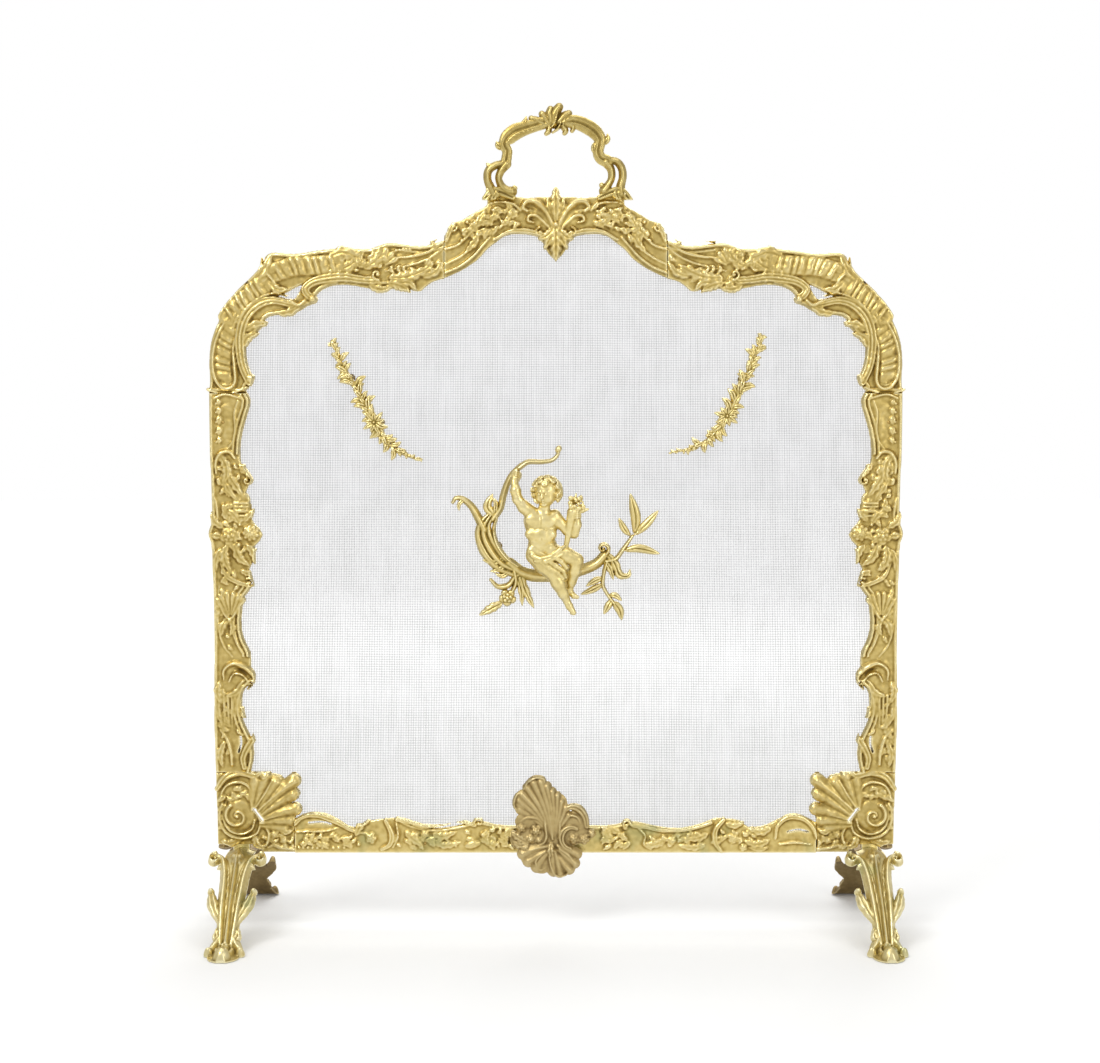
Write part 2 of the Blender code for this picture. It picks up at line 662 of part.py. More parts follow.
def legs(castings):
    heights = (CORNER_BOTTOM + 0.0065, TANG_TOP - 0.0070)
    for side, word in ((-1, "left"), (1, "right")):
        places = [(side * TANG_X, z) for z in heights]
        for end, direction, tang in (("front", -1, FRONT_TANG), ("rear", 1, REAR_TANG)):
            leg = scroll_leg(f"{end}_{word}_leg", side * LEG_X, side * TANG_X, direction, tang)
            drill(leg, places, BOLT_RADIUS + HOLE_ROOM, tang[0] - OVERRUN, tang[1] + OVERRUN)
        drill(castings[f"{word}_corner"], places, BOLT_RADIUS + HOLE_ROOM, -SCREW_GRIP - GAP, OVERRUN)
        for number, (x, z) in enumerate(places, 1):
            screw(
                f"{word}_leg_bolt_{number}", x, z, -SCREW_GRIP + GAP, REAR_TANG[1] + GAP,
                radius=BOLT_RADIUS, head_radius=0.0046, head_height=0.0032, sides=6,
            )


def ellipsoid(bm, centre, radii):
    made = bmesh.ops.create_uvsphere(bm, u_segments=12, v_segments=8, radius=1)
    for vert in made["verts"]:
        vert.co = Vector(centre) + Vector(a * b for a, b in zip(vert.co, radii))


def limb(name, path, radius):
    made = rod(name, path, radius, BRIGHT, CUTTERS, sides=1)
    hide_as_cutter(made)
    return made


FIGURE_Y = -0.0178  # the figure's middle plane
BRANCH_Y = -0.0052  # the branch's middle plane
LUG_BACK = -0.0012  # rear face of the lug behind the figure, against the cloth
LUG_RADIUS = 0.0035
LUG_SCREW_TIP = -0.0072
LIMB_RADIUS = 0.0052
TWIG_RADIUS = 0.0034


def cherub():
    """The seated putto with one arm up to the branch and one holding a torch."""
    base = CENTRE_HEIGHT - 0.384

    def torso(bm):
        ellipsoid(bm, (-0.0125, FIGURE_Y, base + 0.382), (0.0155, 0.0060, 0.0270))

    def head(bm):
        ellipsoid(bm, (-0.0100, FIGURE_Y - 0.0010, base + 0.4240), (0.0125, 0.0075, 0.0145))

    def lap(bm):
        ellipsoid(bm, (0.0030, FIGURE_Y - 0.0010, base + 0.3530), (0.0190, 0.0070, 0.0130))

    figure = add_mesh("cherub_figure", torso, BRIGHT)
    y = FIGURE_Y
    parts = []
    for word, build in (("head", head), ("lap", lap)):
        piece = add_mesh(f"cherub_{word}", build, None, CUTTERS)
        hide_as_cutter(piece)
        parts.append(piece)
    front = y - 0.001
    limbs = {
        "neck": [(-0.011, y, 0.402, 1), (-0.011, y, 0.414, 1)],
        "arm_up": [(-0.022, y, 0.397, 1.1), (-0.033, y, 0.411, 0.9), (-0.040, front, 0.434, 0.6)],
        "arm_down": [(0.0, y, 0.397, 1.1), (0.010, y, 0.380, 0.9), (0.019, front, 0.392, 0.7)],
        "torch": [(0.008, front, 0.362, 0.6), (0.014, front, 0.395, 0.8), (0.0185, front, 0.414, 1.1)],
        "shin": [(-0.004, y, 0.350, 1.5), (0.004, y, 0.325, 1.1), (0.012, y, 0.308, 0.7)],
        "calf": [(0.016, y, 0.345, 1.1), (0.013, front, 0.332, 0.8), (0.018, front, 0.323, 0.5)],
    }
    for word, path in limbs.items():
        placed = [(a, b, base + height, factor) for a, b, height, factor in path]
        parts.append(limb(f"cherub_{word}", placed, LIMB_RADIUS))
    seat = (-0.0125, base + 0.372)
    lug_path = [(seat[0], along, seat[1], 1) for along in (LUG_BACK, (LUG_BACK + y) / 2, y)]
    parts.append(rod("cherub_lug", lug_path, LUG_RADIUS, BRIGHT, CUTTERS))
    hide_as_cutter(parts[-1])
    for piece in parts:
        boolean(figure, piece, "UNION")
    return figure, seat


def branch():
    """The scrolling branch that the putto sits on."""
    base = CENTRE_HEIGHT - 0.384
    y = BRANCH_Y
    main = [
        (0.000, y, 0.458, 0.5), (-0.004, y, 0.450, 0.5), (-0.018, y, 0.448, 0.5), (-0.030, y, 0.444, 0.6),
        (-0.040, y, 0.432, 0.7), (-0.050, y, 0.414, 0.9), (-0.060, y, 0.398, 1.2), (-0.062, y, 0.382, 1.3),
        (-0.050, y, 0.360, 1.3), (-0.034, y, 0.347, 1.1), (-0.012, y, 0.342, 1.1), (0.014, y, 0.343, 1.0),
        (0.040, y, 0.352, 0.9), (0.055, y, 0.358, 0.7), (0.070, y, 0.372, 0.7), (0.077, y, 0.388, 0.7),
        (0.073, y, 0.412, 0.3),
    ]
    twigs = {
        "leaf": [(-0.091, y, 0.413, 0.5), (-0.078, y, 0.402, 1.1), (-0.065, y, 0.378, 1.1)],
        "flower": [(-0.036, y, 0.347, 1.0), (-0.043, y - 0.0045, 0.322, 2.1), (-0.068, y, 0.304, 0.6)],
        "twig": [(0.045, y, 0.354, 1.0), (0.044, y, 0.330, 0.8), (0.061, y, 0.302, 0.6)],
    }

    def lifted(path):
        return [(a, b, base + height, factor) for a, b, height, factor in path]

    stem = rod("cherub_branch", lifted(main), TWIG_RADIUS, BRIGHT)
    for word, path in twigs.items():
        boolean(stem, limb(f"branch_{word}", lifted(path), TWIG_RADIUS), "UNION")
    return stem, [(-0.055, base + 0.368), (0.040, base + 0.352)]


def sprays():
    """The two flower sprays on the wire cloth."""
    front, back = -0.0070, -0.0012
    left = [
        (-0.208, 0.560), (-0.203, 0.556), (-0.199, 0.546), (-0.192, 0.542), (-0.187, 0.531),
        (-0.180, 0.520), (-0.172, 0.516), (-0.168, 0.505), (-0.160, 0.501), (-0.154, 0.490),
        (-0.155, 0.478), (-0.150, 0.468), (-0.143, 0.460), (-0.126, 0.4535), (-0.127, 0.4510),
        (-0.145, 0.4520), (-0.156, 0.459), (-0.169, 0.471), (-0.178, 0.480), (-0.179, 0.492),
        (-0.189, 0.502), (-0.188, 0.512), (-0.203, 0.526), (-0.208, 0.540),
    ]
    right = [
        (0.196, 0.564), (0.200, 0.556), (0.193, 0.543), (0.188, 0.532), (0.181, 0.521), (0.178, 0.511),
        (0.174, 0.496), (0.170, 0.483), (0.160, 0.476), (0.148, 0.468), (0.132, 0.459), (0.113, 0.457),
        (0.114, 0.460), (0.130, 0.466), (0.142, 0.474), (0.145, 0.488), (0.149, 0.500), (0.158, 0.518),
        (0.168, 0.522), (0.172, 0.540), (0.181, 0.546), (0.188, 0.560),
    ]
    shift = UPRIGHT_HEIGHT - PATTERN_HEIGHT
    outward = HALF_WIDTH - PATTERN_HALF_WIDTH
    made = []
    for word, side, outline, fixings in (
        ("left", -1, left, ((-0.166, 0.486), (-0.194, 0.528))),
        ("right", 1, right, ((0.160, 0.490), (0.176, 0.526))),
    ):
        placed = [(x + side * outward, z + shift) for x, z in outline]
        holes = [(x + side * outward, z + shift) for x, z in fixings]
        made.append((plate(f"{word}_spray", [placed], front, back, BRIGHT, segments=1), holes))
    return made


def ornaments(panel):
    """The putto, its branch and the sprays, each held by screws from behind the wire cloth."""
    figure, figure_hole = cherub()
    stem, stem_holes = branch()
    fixings = [("cherub_screw", *figure_hole, LUG_SCREW_TIP)]
    for number, (x, z) in enumerate(stem_holes, 1):
        fixings.append((f"branch_screw_{number}", x, z, BRANCH_Y))
    drill(stem, stem_holes, SCREW_RADIUS + HOLE_ROOM, BRANCH_Y - GAP, 0)
    drill(figure, [figure_hole], SCREW_RADIUS + HOLE_ROOM, LUG_SCREW_TIP - GAP, 0)
    for spray, holes in sprays():
        drill(spray, holes, SCREW_RADIUS + HOLE_ROOM, -0.0050, 0)
        for number, (x, z) in enumerate(holes, 1):
            fixings.append((f"{spray.name}_screw_{number}", x, z, -0.0045))
    for name, x, z, tip in fixings:
        screw(name, x, z, tip, PANEL_BACK + GAP, head_radius=0.0040, head_height=0.0015)
    places = [(x, z) for _, x, z, _ in fixings]
    drill(panel, places, SCREW_RADIUS + HOLE_ROOM, GAP / 2, PANEL_BACK + OVERRUN)


def build_screen():
    castings = cast_rails()
    into = clamp_straps(castings)
    handle_places = carrying_handle()
    into["crest_rail"] += handle_places
    palmette()
    legs(castings)
    for name, places in into.items():
        drill(castings[name], places, SCREW_RADIUS + HOLE_ROOM, -SCREW_GRIP - GAP, OVERRUN)
    front = -CASTING_DEPTH - OVERRUN
    drill(castings["bottom_rail"], [PALMETTE_FIXING], SCREW_RADIUS + HOLE_ROOM, front, OVERRUN)
    ornaments(wire_cloth())
    for obj in SCREEN.objects:
        obj.data.shade_smooth()
        obj.data.set_sharp_from_angle(angle=math.radians(35))


build_screen()
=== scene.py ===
"""The looks of the brass fireplace screen: relief castings, putto, wire cloth, finishes, light and camera.

Relief shapes are worked out in millimetres on a grid in the screen's own plane, x to the right and z up,
with the height of the surface measured towards the room. They become metres when a mesh is made.
"""

import json
import math
from collections import defaultdict

import bmesh
import bpy
import numpy as np
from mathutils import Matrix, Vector

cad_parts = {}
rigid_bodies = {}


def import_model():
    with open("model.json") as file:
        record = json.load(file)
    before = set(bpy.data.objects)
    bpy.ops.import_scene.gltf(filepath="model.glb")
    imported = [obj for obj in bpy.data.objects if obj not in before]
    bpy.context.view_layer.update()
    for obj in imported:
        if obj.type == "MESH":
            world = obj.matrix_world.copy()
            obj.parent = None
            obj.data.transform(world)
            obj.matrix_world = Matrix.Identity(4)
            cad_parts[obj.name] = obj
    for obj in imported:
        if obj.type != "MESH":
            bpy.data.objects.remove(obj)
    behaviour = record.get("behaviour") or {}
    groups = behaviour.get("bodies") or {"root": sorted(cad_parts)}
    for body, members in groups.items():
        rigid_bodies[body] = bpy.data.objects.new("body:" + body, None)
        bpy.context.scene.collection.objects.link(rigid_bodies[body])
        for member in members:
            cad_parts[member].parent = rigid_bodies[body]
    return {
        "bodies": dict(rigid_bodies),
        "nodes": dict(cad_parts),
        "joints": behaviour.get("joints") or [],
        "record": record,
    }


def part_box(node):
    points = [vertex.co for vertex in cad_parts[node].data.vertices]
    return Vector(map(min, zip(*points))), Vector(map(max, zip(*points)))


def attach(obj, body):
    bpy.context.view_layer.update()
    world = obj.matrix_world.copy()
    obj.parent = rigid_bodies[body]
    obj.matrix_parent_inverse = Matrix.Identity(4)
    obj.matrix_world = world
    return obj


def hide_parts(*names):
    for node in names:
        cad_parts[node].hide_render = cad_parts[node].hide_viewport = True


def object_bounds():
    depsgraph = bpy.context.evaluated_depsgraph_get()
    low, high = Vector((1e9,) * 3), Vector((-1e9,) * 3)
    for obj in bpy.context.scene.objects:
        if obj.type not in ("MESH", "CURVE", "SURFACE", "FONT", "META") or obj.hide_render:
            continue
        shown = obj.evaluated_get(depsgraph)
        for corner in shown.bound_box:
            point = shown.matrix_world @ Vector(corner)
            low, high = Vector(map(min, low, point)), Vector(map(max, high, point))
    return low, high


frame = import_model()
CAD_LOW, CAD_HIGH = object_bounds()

MM = 0.001
GRID = 0.75  # mm between the points of a relief
CAST_WALL = 3.2  # mm of metal behind a hollow-backed relief
JOINT_CREST = 105.0  # half-width of the crest casting, mm
JOINT_RAIL = (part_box("bottom_rail")[1].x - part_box("bottom_rail")[0].x) / 2 / MM
JOINT_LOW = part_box("left_upright")[0].z / MM
JOINT_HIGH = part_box("left_upright")[1].z / MM
RAIL_TOP = 106.0  # where the corner's shell rises clear of the bottom rail
HALF_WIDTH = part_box("right_upright")[1].x / MM
LEG_INSET = 28.0  # from the frame's side to the middle of a leg
SIDES = {-1: "left", 1: "right"}
SCREEN_MIDDLE = (0.0, (JOINT_LOW + JOINT_HIGH) / 2 + 60)


# ---------------------------------------------------------------- finishes

def srgb(code):
    """A #rrggbb colour as linear RGBA."""
    parts = [int(code[i:i + 2], 16) / 255 for i in (1, 3, 5)]
    return [*(c / 12.92 if c <= 0.04045 else ((c + 0.055) / 1.055) ** 2.4 for c in parts), 1]


def add_node(tree, kind, inputs=None, **settings):
    """A new node with its settings, and its inputs set to a value or linked to a socket."""
    made = tree.nodes.new("ShaderNode" + kind)
    for name, value in settings.items():
        setattr(made, name, value)
    for name, value in (inputs or {}).items():
        if isinstance(value, bpy.types.NodeSocket):
            tree.links.new(value, made.inputs[name])
        else:
            made.inputs[name].default_value = value
    return made


def ramp(tree, factor, stops):
    """A colour ramp with (position, colour) stops."""
    made = add_node(tree, "ValToRGB", {"Fac": factor})
    bands = made.color_ramp.elements
    while len(bands) < len(stops):
        bands.new(0.5)
    for band, (position, colour) in zip(bands, stops):
        band.position = position
        band.color = srgb(colour)
    return made.outputs["Color"]


def finish(name, metallic=1.0, roughness=0.4):
    made = bpy.data.materials.new(name)
    made.use_nodes = True
    tree = made.node_tree
    shader = tree.nodes["Principled BSDF"]
    shader.inputs["Metallic"].default_value = metallic
    shader.inputs["Roughness"].default_value = roughness
    made.diffuse_color = (0.6, 0.5, 0.25, 1)
    return made, tree, shader


def cast_brass(name, film_and_painted_shade, shade, body, wear_and_painted_highlight, roughness=0.34, verdigris=0.0):
    """Cast and chased brass, coloured by its relief: a dark film and painted shade in the hollows, and
    handling wear with a painted highlight on what stands proud.
    """
    made, tree, shader = finish(name)
    place = add_node(tree, "TexCoord").outputs["Object"]
    relief = add_node(tree, "Attribute", attribute_name="relief").outputs["Fac"]
    cloudy = add_node(tree, "TexNoise", {"Vector": place, "Scale": 1 / 0.021, "Detail": 4.0}).outputs["Fac"]
    # Grit of the casting sand, 0.7 mm, so that it shows at all.
    grit = add_node(tree, "TexNoise", {"Vector": place, "Scale": 1 / 0.0007, "Detail": 3.0}).outputs["Fac"]
    stain = add_node(tree, "TexNoise", {"Vector": place, "Scale": 1 / 0.0045, "Detail": 3.0}).outputs["Fac"]
    # relief runs 0..1 with 0.5 on plain ground; the noises push the edge of the dark film and painted shade
    # about.
    pushed = add_node(tree, "Math", {0: cloudy, 1: 0.34, 2: relief}, operation="MULTIPLY_ADD").outputs[0]
    pushed = add_node(tree, "Math", {0: stain, 1: 0.26, 2: pushed}, operation="MULTIPLY_ADD").outputs[0]
    level = add_node(tree, "Math", {0: pushed, 1: 0.30}, operation="SUBTRACT").outputs[0]
    # Hollows take the dark film and painted shade, proud points the wear and painted highlight.
    colour = ramp(tree, level, [(0.10, film_and_painted_shade), (0.34, shade), (0.52, body), (0.86, wear_and_painted_highlight)])
    if verdigris:
        green = add_node(tree, "TexNoise", {"Vector": place, "Scale": 1 / 0.034,
                                            "Detail": 2.0}).outputs["Fac"]
        spread = add_node(tree, "MapRange", {"Value": green, "From Min": 0.56, "From Max": 0.70,
                                             "To Max": verdigris}).outputs[0]
        mixer = add_node(tree, "Mix", {"Factor": spread}, data_type="RGBA")
        tree.links.new(colour, mixer.inputs[6])
        mixer.inputs[7].default_value = srgb("#8c9a6c")
        colour = mixer.outputs[2]
    tree.links.new(colour, shader.inputs["Base Color"])
    rough = add_node(tree, "MapRange", {"Value": level, "From Min": 0.15, "From Max": 0.85,
                                        "To Min": roughness + 0.22, "To Max": roughness - 0.08}).outputs[0]
    tree.links.new(rough, shader.inputs["Roughness"])
    bump = add_node(tree, "Bump", {"Height": grit, "Strength": 0.22, "Distance": 0.0002}).outputs["Normal"]
    tree.links.new(bump, shader.inputs["Normal"])
    return made


def drawn_metal(name, low, high, roughness, streak_mm, direction, metallic=1.0):
    """Rolled or drawn metal: fine streaks along the way that it was worked, with tarnish clouds."""
    made, tree, shader = finish(name, metallic)
    place = add_node(tree, "TexCoord").outputs["Object"]
    stretch = [1 / (streak_mm * MM) if axis != direction else 1 / (streak_mm * MM * 30) for axis in "xyz"]
    streaked = add_node(tree, "Mapping", {"Vector": place, "Scale": stretch}).outputs[0]
    streak = add_node(tree, "TexNoise", {"Vector": streaked, "Scale": 1.0, "Detail": 3.0}).outputs["Fac"]
    cloudy = add_node(tree, "TexNoise", {"Vector": place, "Scale": 1 / 0.03, "Detail": 5.0}).outputs["Fac"]
    blend = add_node(tree, "Math", {0: streak, 1: cloudy}, operation="ADD").outputs[0]
    half = add_node(tree, "Math", {0: blend, 1: 0.5}, operation="MULTIPLY").outputs[0]
    tree.links.new(ramp(tree, half, [(0.36, low), (0.62, high)]), shader.inputs["Base Color"])
    rough = add_node(tree, "MapRange", {"Value": half, "From Min": 0.3, "From Max": 0.7,
                                        "To Min": roughness + 0.12, "To Max": roughness - 0.06}).outputs[0]
    tree.links.new(rough, shader.inputs["Roughness"])
    bump = add_node(tree, "Bump", {"Height": streak, "Strength": 0.12, "Distance": 0.0001}).outputs["Normal"]
    tree.links.new(bump, shader.inputs["Normal"])
    return made


# Each finish runs from film and painted shade in the hollows, through shade and body, to wear and painted
# highlight on proud points.
GILT = cast_brass("cast_chased_brass", "#7d6839", "#a79050", "#c5ae6b", "#e6d69f")
BRIGHT = cast_brass("burnished_cast_brass", "#8a7640", "#bda96b", "#e0ce90", "#f6edc4", roughness=0.30)
SPRAY_BRASS = cast_brass("cast_brass_sprays", "#6f5f33", "#a59352", "#cfba79", "#f0e2ac", roughness=0.32)
HANDLE_BRASS = cast_brass("handled_cast_brass", "#4f4120", "#83703b", "#a99353", "#dccb8c")
DULL = cast_brass("tarnished_cast_brass", "#665634", "#937f55", "#b7a16e", "#d3c394", roughness=0.42)
LEG_BRASS = cast_brass("cast_brass_feet", "#85754a", "#aa9963", "#cfbf88", "#efe6bd", verdigris=0.45)
# The rear feet: a darker copy of the feet's brass, as painted shade.
SHADED_REAR_LEG_BRASS = cast_brass("rear_feet_brass_painted_shade", "#3c3022", "#65543a", "#8a764e", "#b7a272",
                            roughness=0.42)
RAIL_BRASS = cast_brass("cast_brass_low_rail", "#846e3b", "#b59c58", "#d6bf79", "#eedea6", verdigris=0.45)
WIRE = drawn_metal("galvanised_steel_wire", "#a0a0a3", "#cbcbcf", 0.42, 1.6, "z", metallic=0.75)
STRAP = drawn_metal("rolled_brass_strip", "#6f5a2e", "#a98f50", 0.44, 0.5, "x")
SCREW = drawn_metal("turned_brass_screw", "#7c6431", "#bda161", 0.36, 0.4, "y")


# ---------------------------------------------------------------- meshes

def link(made):
    bpy.context.scene.collection.objects.link(made)
    return made


def smooth_path(points, step=0.7):
    """Points about step apart on a smooth curve through the given ones, of any dimension."""
    p = np.array(points, float)
    if len(p) < 3:
        count = max(2, int(np.linalg.norm(p[-1] - p[0]) / step))
        return p[0] + (p[-1] - p[0]) * np.linspace(0, 1, count)[:, None]
    p = np.vstack([2 * p[0] - p[1], p, 2 * p[-1] - p[-2]])
    made = []
    for a, b, c, d in zip(p, p[1:], p[2:], p[3:]):
        count = max(2, int(np.linalg.norm(c - b) / step))
        t = (np.arange(count) / count)[:, None]
        made.append(0.5 * (2 * b + (c - a) * t + (2 * a - 5 * b + 4 * c - d) * t**2
                           + (3 * b - a - 3 * c + d) * t**3))
    return np.vstack([*made, p[-2:-1]])


def bare_piece(name, verts, faces):
    """A linked object in metres from points in millimetres, without a finish yet."""
    mesh = bpy.data.meshes.new(name)
    mesh.from_pydata((np.asarray(verts, float) * MM).tolist(), [], [tuple(map(int, f)) for f in faces])
    return link(bpy.data.objects.new(name, mesh))


def mesh_piece(name, verts, faces, material, node, sharp=None, passes=10, gain=1.0):
    """A closed piece with the relief value that its finish reads."""
    piece = bare_piece(name, verts, faces)
    piece.data.validate()
    return dress(piece, material, node, sharp, passes, gain)


def dress(piece, material, node, sharp=None, passes=10, gain=1.0):
    """Gives a piece its finish and body, and hides the CAD node that it stands for."""
    mesh = piece.data
    mesh.shade_smooth()
    if sharp:
        mesh.set_sharp_from_angle(angle=math.radians(sharp))
    mesh.materials.clear()
    mesh.materials.append(material)
    if passes:
        mark_relief(mesh, passes, gain)
    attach(piece, "root")
    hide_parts(node)
    return piece


def read(items, name, kind, width):
    """One property of all of a mesh's points or edges, as rows."""
    values = np.empty(len(items) * width, kind)
    items.foreach_get(name, values)
    return values.reshape(-1, width)


def mark_relief(mesh, passes, gain):
    """Stores, at each point, how far it stands above (over 0.5) or below its smoothed surroundings."""
    count = len(mesh.vertices)
    points = read(mesh.vertices, "co", np.float32, 3).astype(float)
    normals = read(mesh.vertices, "normal", np.float32, 3)
    a, b = read(mesh.edges, "vertices", np.int32, 2).T
    neighbours = np.maximum(np.bincount(a, minlength=count) + np.bincount(b, minlength=count), 1)
    height = np.zeros(count)
    eased = points.copy()
    for turn in range(passes):
        for axis in range(3):
            total = np.bincount(a, eased[b, axis], count) + np.bincount(b, eased[a, axis], count)
            eased[:, axis] = 0.4 * eased[:, axis] + 0.6 * total / neighbours
        if turn in (passes // 3, passes - 1):
            height += ((points - eased) * normals).sum(1) / MM * (0.9 if turn == passes - 1 else 1.5)
    value = np.clip(0.5 + 0.5 * gain * height, 0, 1)
    attribute = mesh.attributes.new("relief", "FLOAT", "POINT")
    attribute.data.foreach_set("value", value.astype(np.float32))


def cad_loops(node):
    """The closed edges of a CAD plate's flat front, as loops of (x, z) in mm."""
    mesh = frame["nodes"][node].data
    flat = defaultdict(list)
    for polygon in mesh.polygons:
        is_front = polygon.normal.y < -0.9
        corners = [tuple(round(c / MM, 3) for c in mesh.vertices[i].co) for i in polygon.vertices]
        for p, q in zip(corners, corners[1:] + corners[:1]):
            flat[frozenset(((p[0], p[2]), (q[0], q[2])))].append(is_front and p[1] == q[1])
    border = [tuple(edge) for edge, sides in flat.items() if len(edge) == 2 and sum(sides) == 1]
    joined = defaultdict(list)
    for p, q in border:
        joined[p].append(q)
        joined[q].append(p)
    loops = []
    while joined:
        here = next(iter(joined))
        loop = []
        while joined[here]:
            loop.append(here)
            there = joined[here].pop()
            joined[there].remove(here)
            here = there
        joined = {point: left for point, left in joined.items() if left}
        if len(loop) > 4:
            loops.append(np.array(loop))
    return loops


# ---------------------------------------------------------------- relief

def dome(q):
    return np.sqrt(np.clip(1 - q * q, 0, 1))


def toward(angle):
    """The unit step at an angle in radians."""
    return np.array([math.cos(angle), math.sin(angle)])


def beside(field):
    """The sum of each grid point's four neighbours."""
    padded = np.pad(field, 1, mode="edge")
    return padded[:-2, 1:-1] + padded[2:, 1:-1] + padded[1:-1, :-2] + padded[1:-1, 2:]


# A moulding's height across its width, where q runs from -1 at one edge to 1 at the other.
PROFILES = {
    "round": lambda q: 0.5 * dome(q) + 0.5 * (1 - q * q) ** 2,
    "twin": lambda q: dome(q) ** 0.6 * (1 - 0.38 * np.exp(-(q / 0.24) ** 2)),
    "triple": lambda q: dome(q) ** 0.6 * (0.78 + 0.22 * np.cos(3 * math.pi * q)),
    "reed": lambda q: (0.45 + 0.55 * np.abs(np.cos(1.5 * math.pi * q))) * dome(q) ** 0.5,
    "cove": lambda q: (0.30 + 0.70 * q * q) * dome(np.abs(q) ** 3),
    "left": lambda q: np.clip((1.0 + q) / 1.75, 0, 1) ** 1.4 * dome(np.clip((q - 0.6) / 0.4, 0, 1)),
}


class Relief:
    """The front of one casting as heights on a grid, with a field that is positive inside its outline."""

    def __init__(self, low, high, step=GRID):
        self.step = step
        self.xs = np.arange(low[0] - 2 * step, high[0] + 2 * step, step)
        self.zs = np.arange(low[1] - 2 * step, high[1] + 2 * step, step)
        self.x, self.z = np.meshgrid(self.xs, self.zs)
        self.edge = np.full(self.x.shape, -9.0)
        self.ground = np.full(self.x.shape, 1.2)
        self.top = self.ground.copy()

    def window(self, low, high):
        i0, i1 = np.searchsorted(self.xs, (low[0], high[0]))
        j0, j1 = np.searchsorted(self.zs, (low[1], high[1]))
        return slice(j0, j1 + 1), slice(i0, i1 + 1)

    def around(self, centre, reach):
        """A square window round a centre, and its points' offsets from the centre."""
        win = self.window(np.subtract(centre, reach), np.add(centre, reach))
        return win, self.x[win] - centre[0], self.z[win] - centre[1]

    def follow(self, path, reach):
        """A window round a path, and there the distance to it, the share of its length gone, and the side.

        The side is the distance with a sign, positive to the left. The last value is the path's length.
        """
        p = np.asarray(path, float)
        win = self.window(p.min(0) - reach, p.max(0) + reach)
        x, z = self.x[win], self.z[win]
        best, run, side = np.full(x.shape, float(reach)), np.zeros(x.shape), np.zeros(x.shape)
        gone = 0.0
        j0, i0 = win[0].start, win[1].start
        for a, b in zip(p, p[1:]):
            d = b - a
            length = math.hypot(*d)
            if length < 1e-9:
                continue
            rows, columns = self.window(np.minimum(a, b) - reach, np.maximum(a, b) + reach)
            part = (slice(rows.start - j0, rows.stop - j0), slice(columns.start - i0, columns.stop - i0))
            dx, dz = x[part] - a[0], z[part] - a[1]
            t = np.clip((dx * d[0] + dz * d[1]) / length**2, 0, 1)
            far = np.hypot(dx - t * d[0], dz - t * d[1])
            near = far < best[part]
            best[part] = np.where(near, far, best[part])
            run[part] = np.where(near, gone + t * length, run[part])
            side[part] = np.where(near, np.sign(d[0] * dz - d[1] * dx), side[part])
            gone += length
        return win, best, run / max(gone, 1e-9), side * best, gone

    def put(self, win, inside, lift, cut=False):
        """Raises the window to lift over the ground where inside is positive, or cuts it into the top."""
        top = self.top[win]
        if cut:
            self.top[win] = np.where(inside > 0, np.maximum(top - lift, 0.8), top)
            return
        self.top[win] = np.where(inside > 0, np.maximum(top, self.ground[win] + lift), top)
        self.edge[win] = np.maximum(self.edge[win], inside)

    def ridge(self, points, width, lift, profile="round", taper=(0.3, 1, 0.3), cut=False, fall=0.25):
        """A moulding along a curve. taper gives its width's factor at the start, middle and end."""
        path = smooth_path(points)
        win, far, run, side, _ = self.follow(path, width * max(1, *taper) + 1)
        wide = width * np.interp(run, np.linspace(0, 1, len(taper)), taper)
        q = np.clip(side / np.maximum(wide, 0.3), -1, 1)
        q = np.where(far < wide, q, np.clip(far / np.maximum(wide, 0.3), 0, 1))
        height = lift * (fall + (1 - fall) * wide / width) * PROFILES[profile](q)
        self.put(win, wide - far, height, cut)

    def leaf(self, points, width, lift, lobes=4, veins=0.16, notch=0.26, tip=0.8):
        """An acanthus leaf along a curve from its base: lobed edges, a sunk midrib, and side veins."""
        path = smooth_path(points)
        win, far, run, _, _ = self.follow(path, width * 1.1 + 1)
        swell = np.sin(math.pi * np.clip(run, 0, 1) ** tip) ** 0.75
        scallop = np.abs(np.sin(math.pi * run * lobes)) ** 0.6 if lobes else 1.0
        wide = width * (0.12 + 0.88 * swell) * (1 - notch * (1 - scallop))
        q = np.clip(far / np.maximum(wide, 0.3), 0, 1)
        fan_lines = np.cos(2 * math.pi * (run * lobes - 0.55 * q))
        height = (0.5 + 0.5 * np.sin(math.pi * run)) * dome(q) ** 0.7
        height = height * (1 - 0.30 * np.exp(-(q / 0.18) ** 2)) * (1 + veins * fan_lines * q)
        self.put(win, wide - far, lift * height)

    def gadroons(self, points, width, lift, pitch, lean=0.0, valley=0.25):
        """A band of rounded lobes that lie across a curve."""
        path = smooth_path(points)
        win, far, run, side, length = self.follow(path, width + 1)
        count = max(1, round(length / pitch))
        q = np.clip(side / width, -1, 1)
        phase = run * count + lean * q
        # Cast by hand, so no two lobes are quite alike.
        phase = phase + 0.16 * np.sin(2.3 * phase + length)
        lobe = np.abs(np.sin(math.pi * phase)) ** 0.9
        self.put(win, width - far, lift * (valley + (1 - valley) * lobe) * dome(np.abs(q) ** 1.6))

    def fan(self, centre, start, end, inner, outer, ribs, lift, lobe=0.16, cup=0.5, sharp=0.6, groove=0.58):
        """A shell of ribs that radiate from a centre, between two angles in degrees, with a scalloped rim."""
        win, dx, dz = self.around(centre, outer * 1.05)
        far = np.hypot(dx, dz)
        share = ((np.degrees(np.arctan2(dz, dx)) - start) % 360) / ((end - start) % 360 or 360)
        wave = np.abs(np.sin(math.pi * share * ribs)) ** sharp
        rim = outer * (1 - lobe + lobe * wave) * (0.86 + 0.14 * np.sin(math.pi * np.clip(share, 0, 1)))
        q = np.clip((far - inner) / (rim - inner), 0, 1)
        height = lift * (1 - cup + cup * q) * (1 - groove + groove * wave) * dome(q**4)
        inside = np.minimum(rim - far, far - inner) * (share <= 1) - (share > 1)
        self.put(win, inside, height)

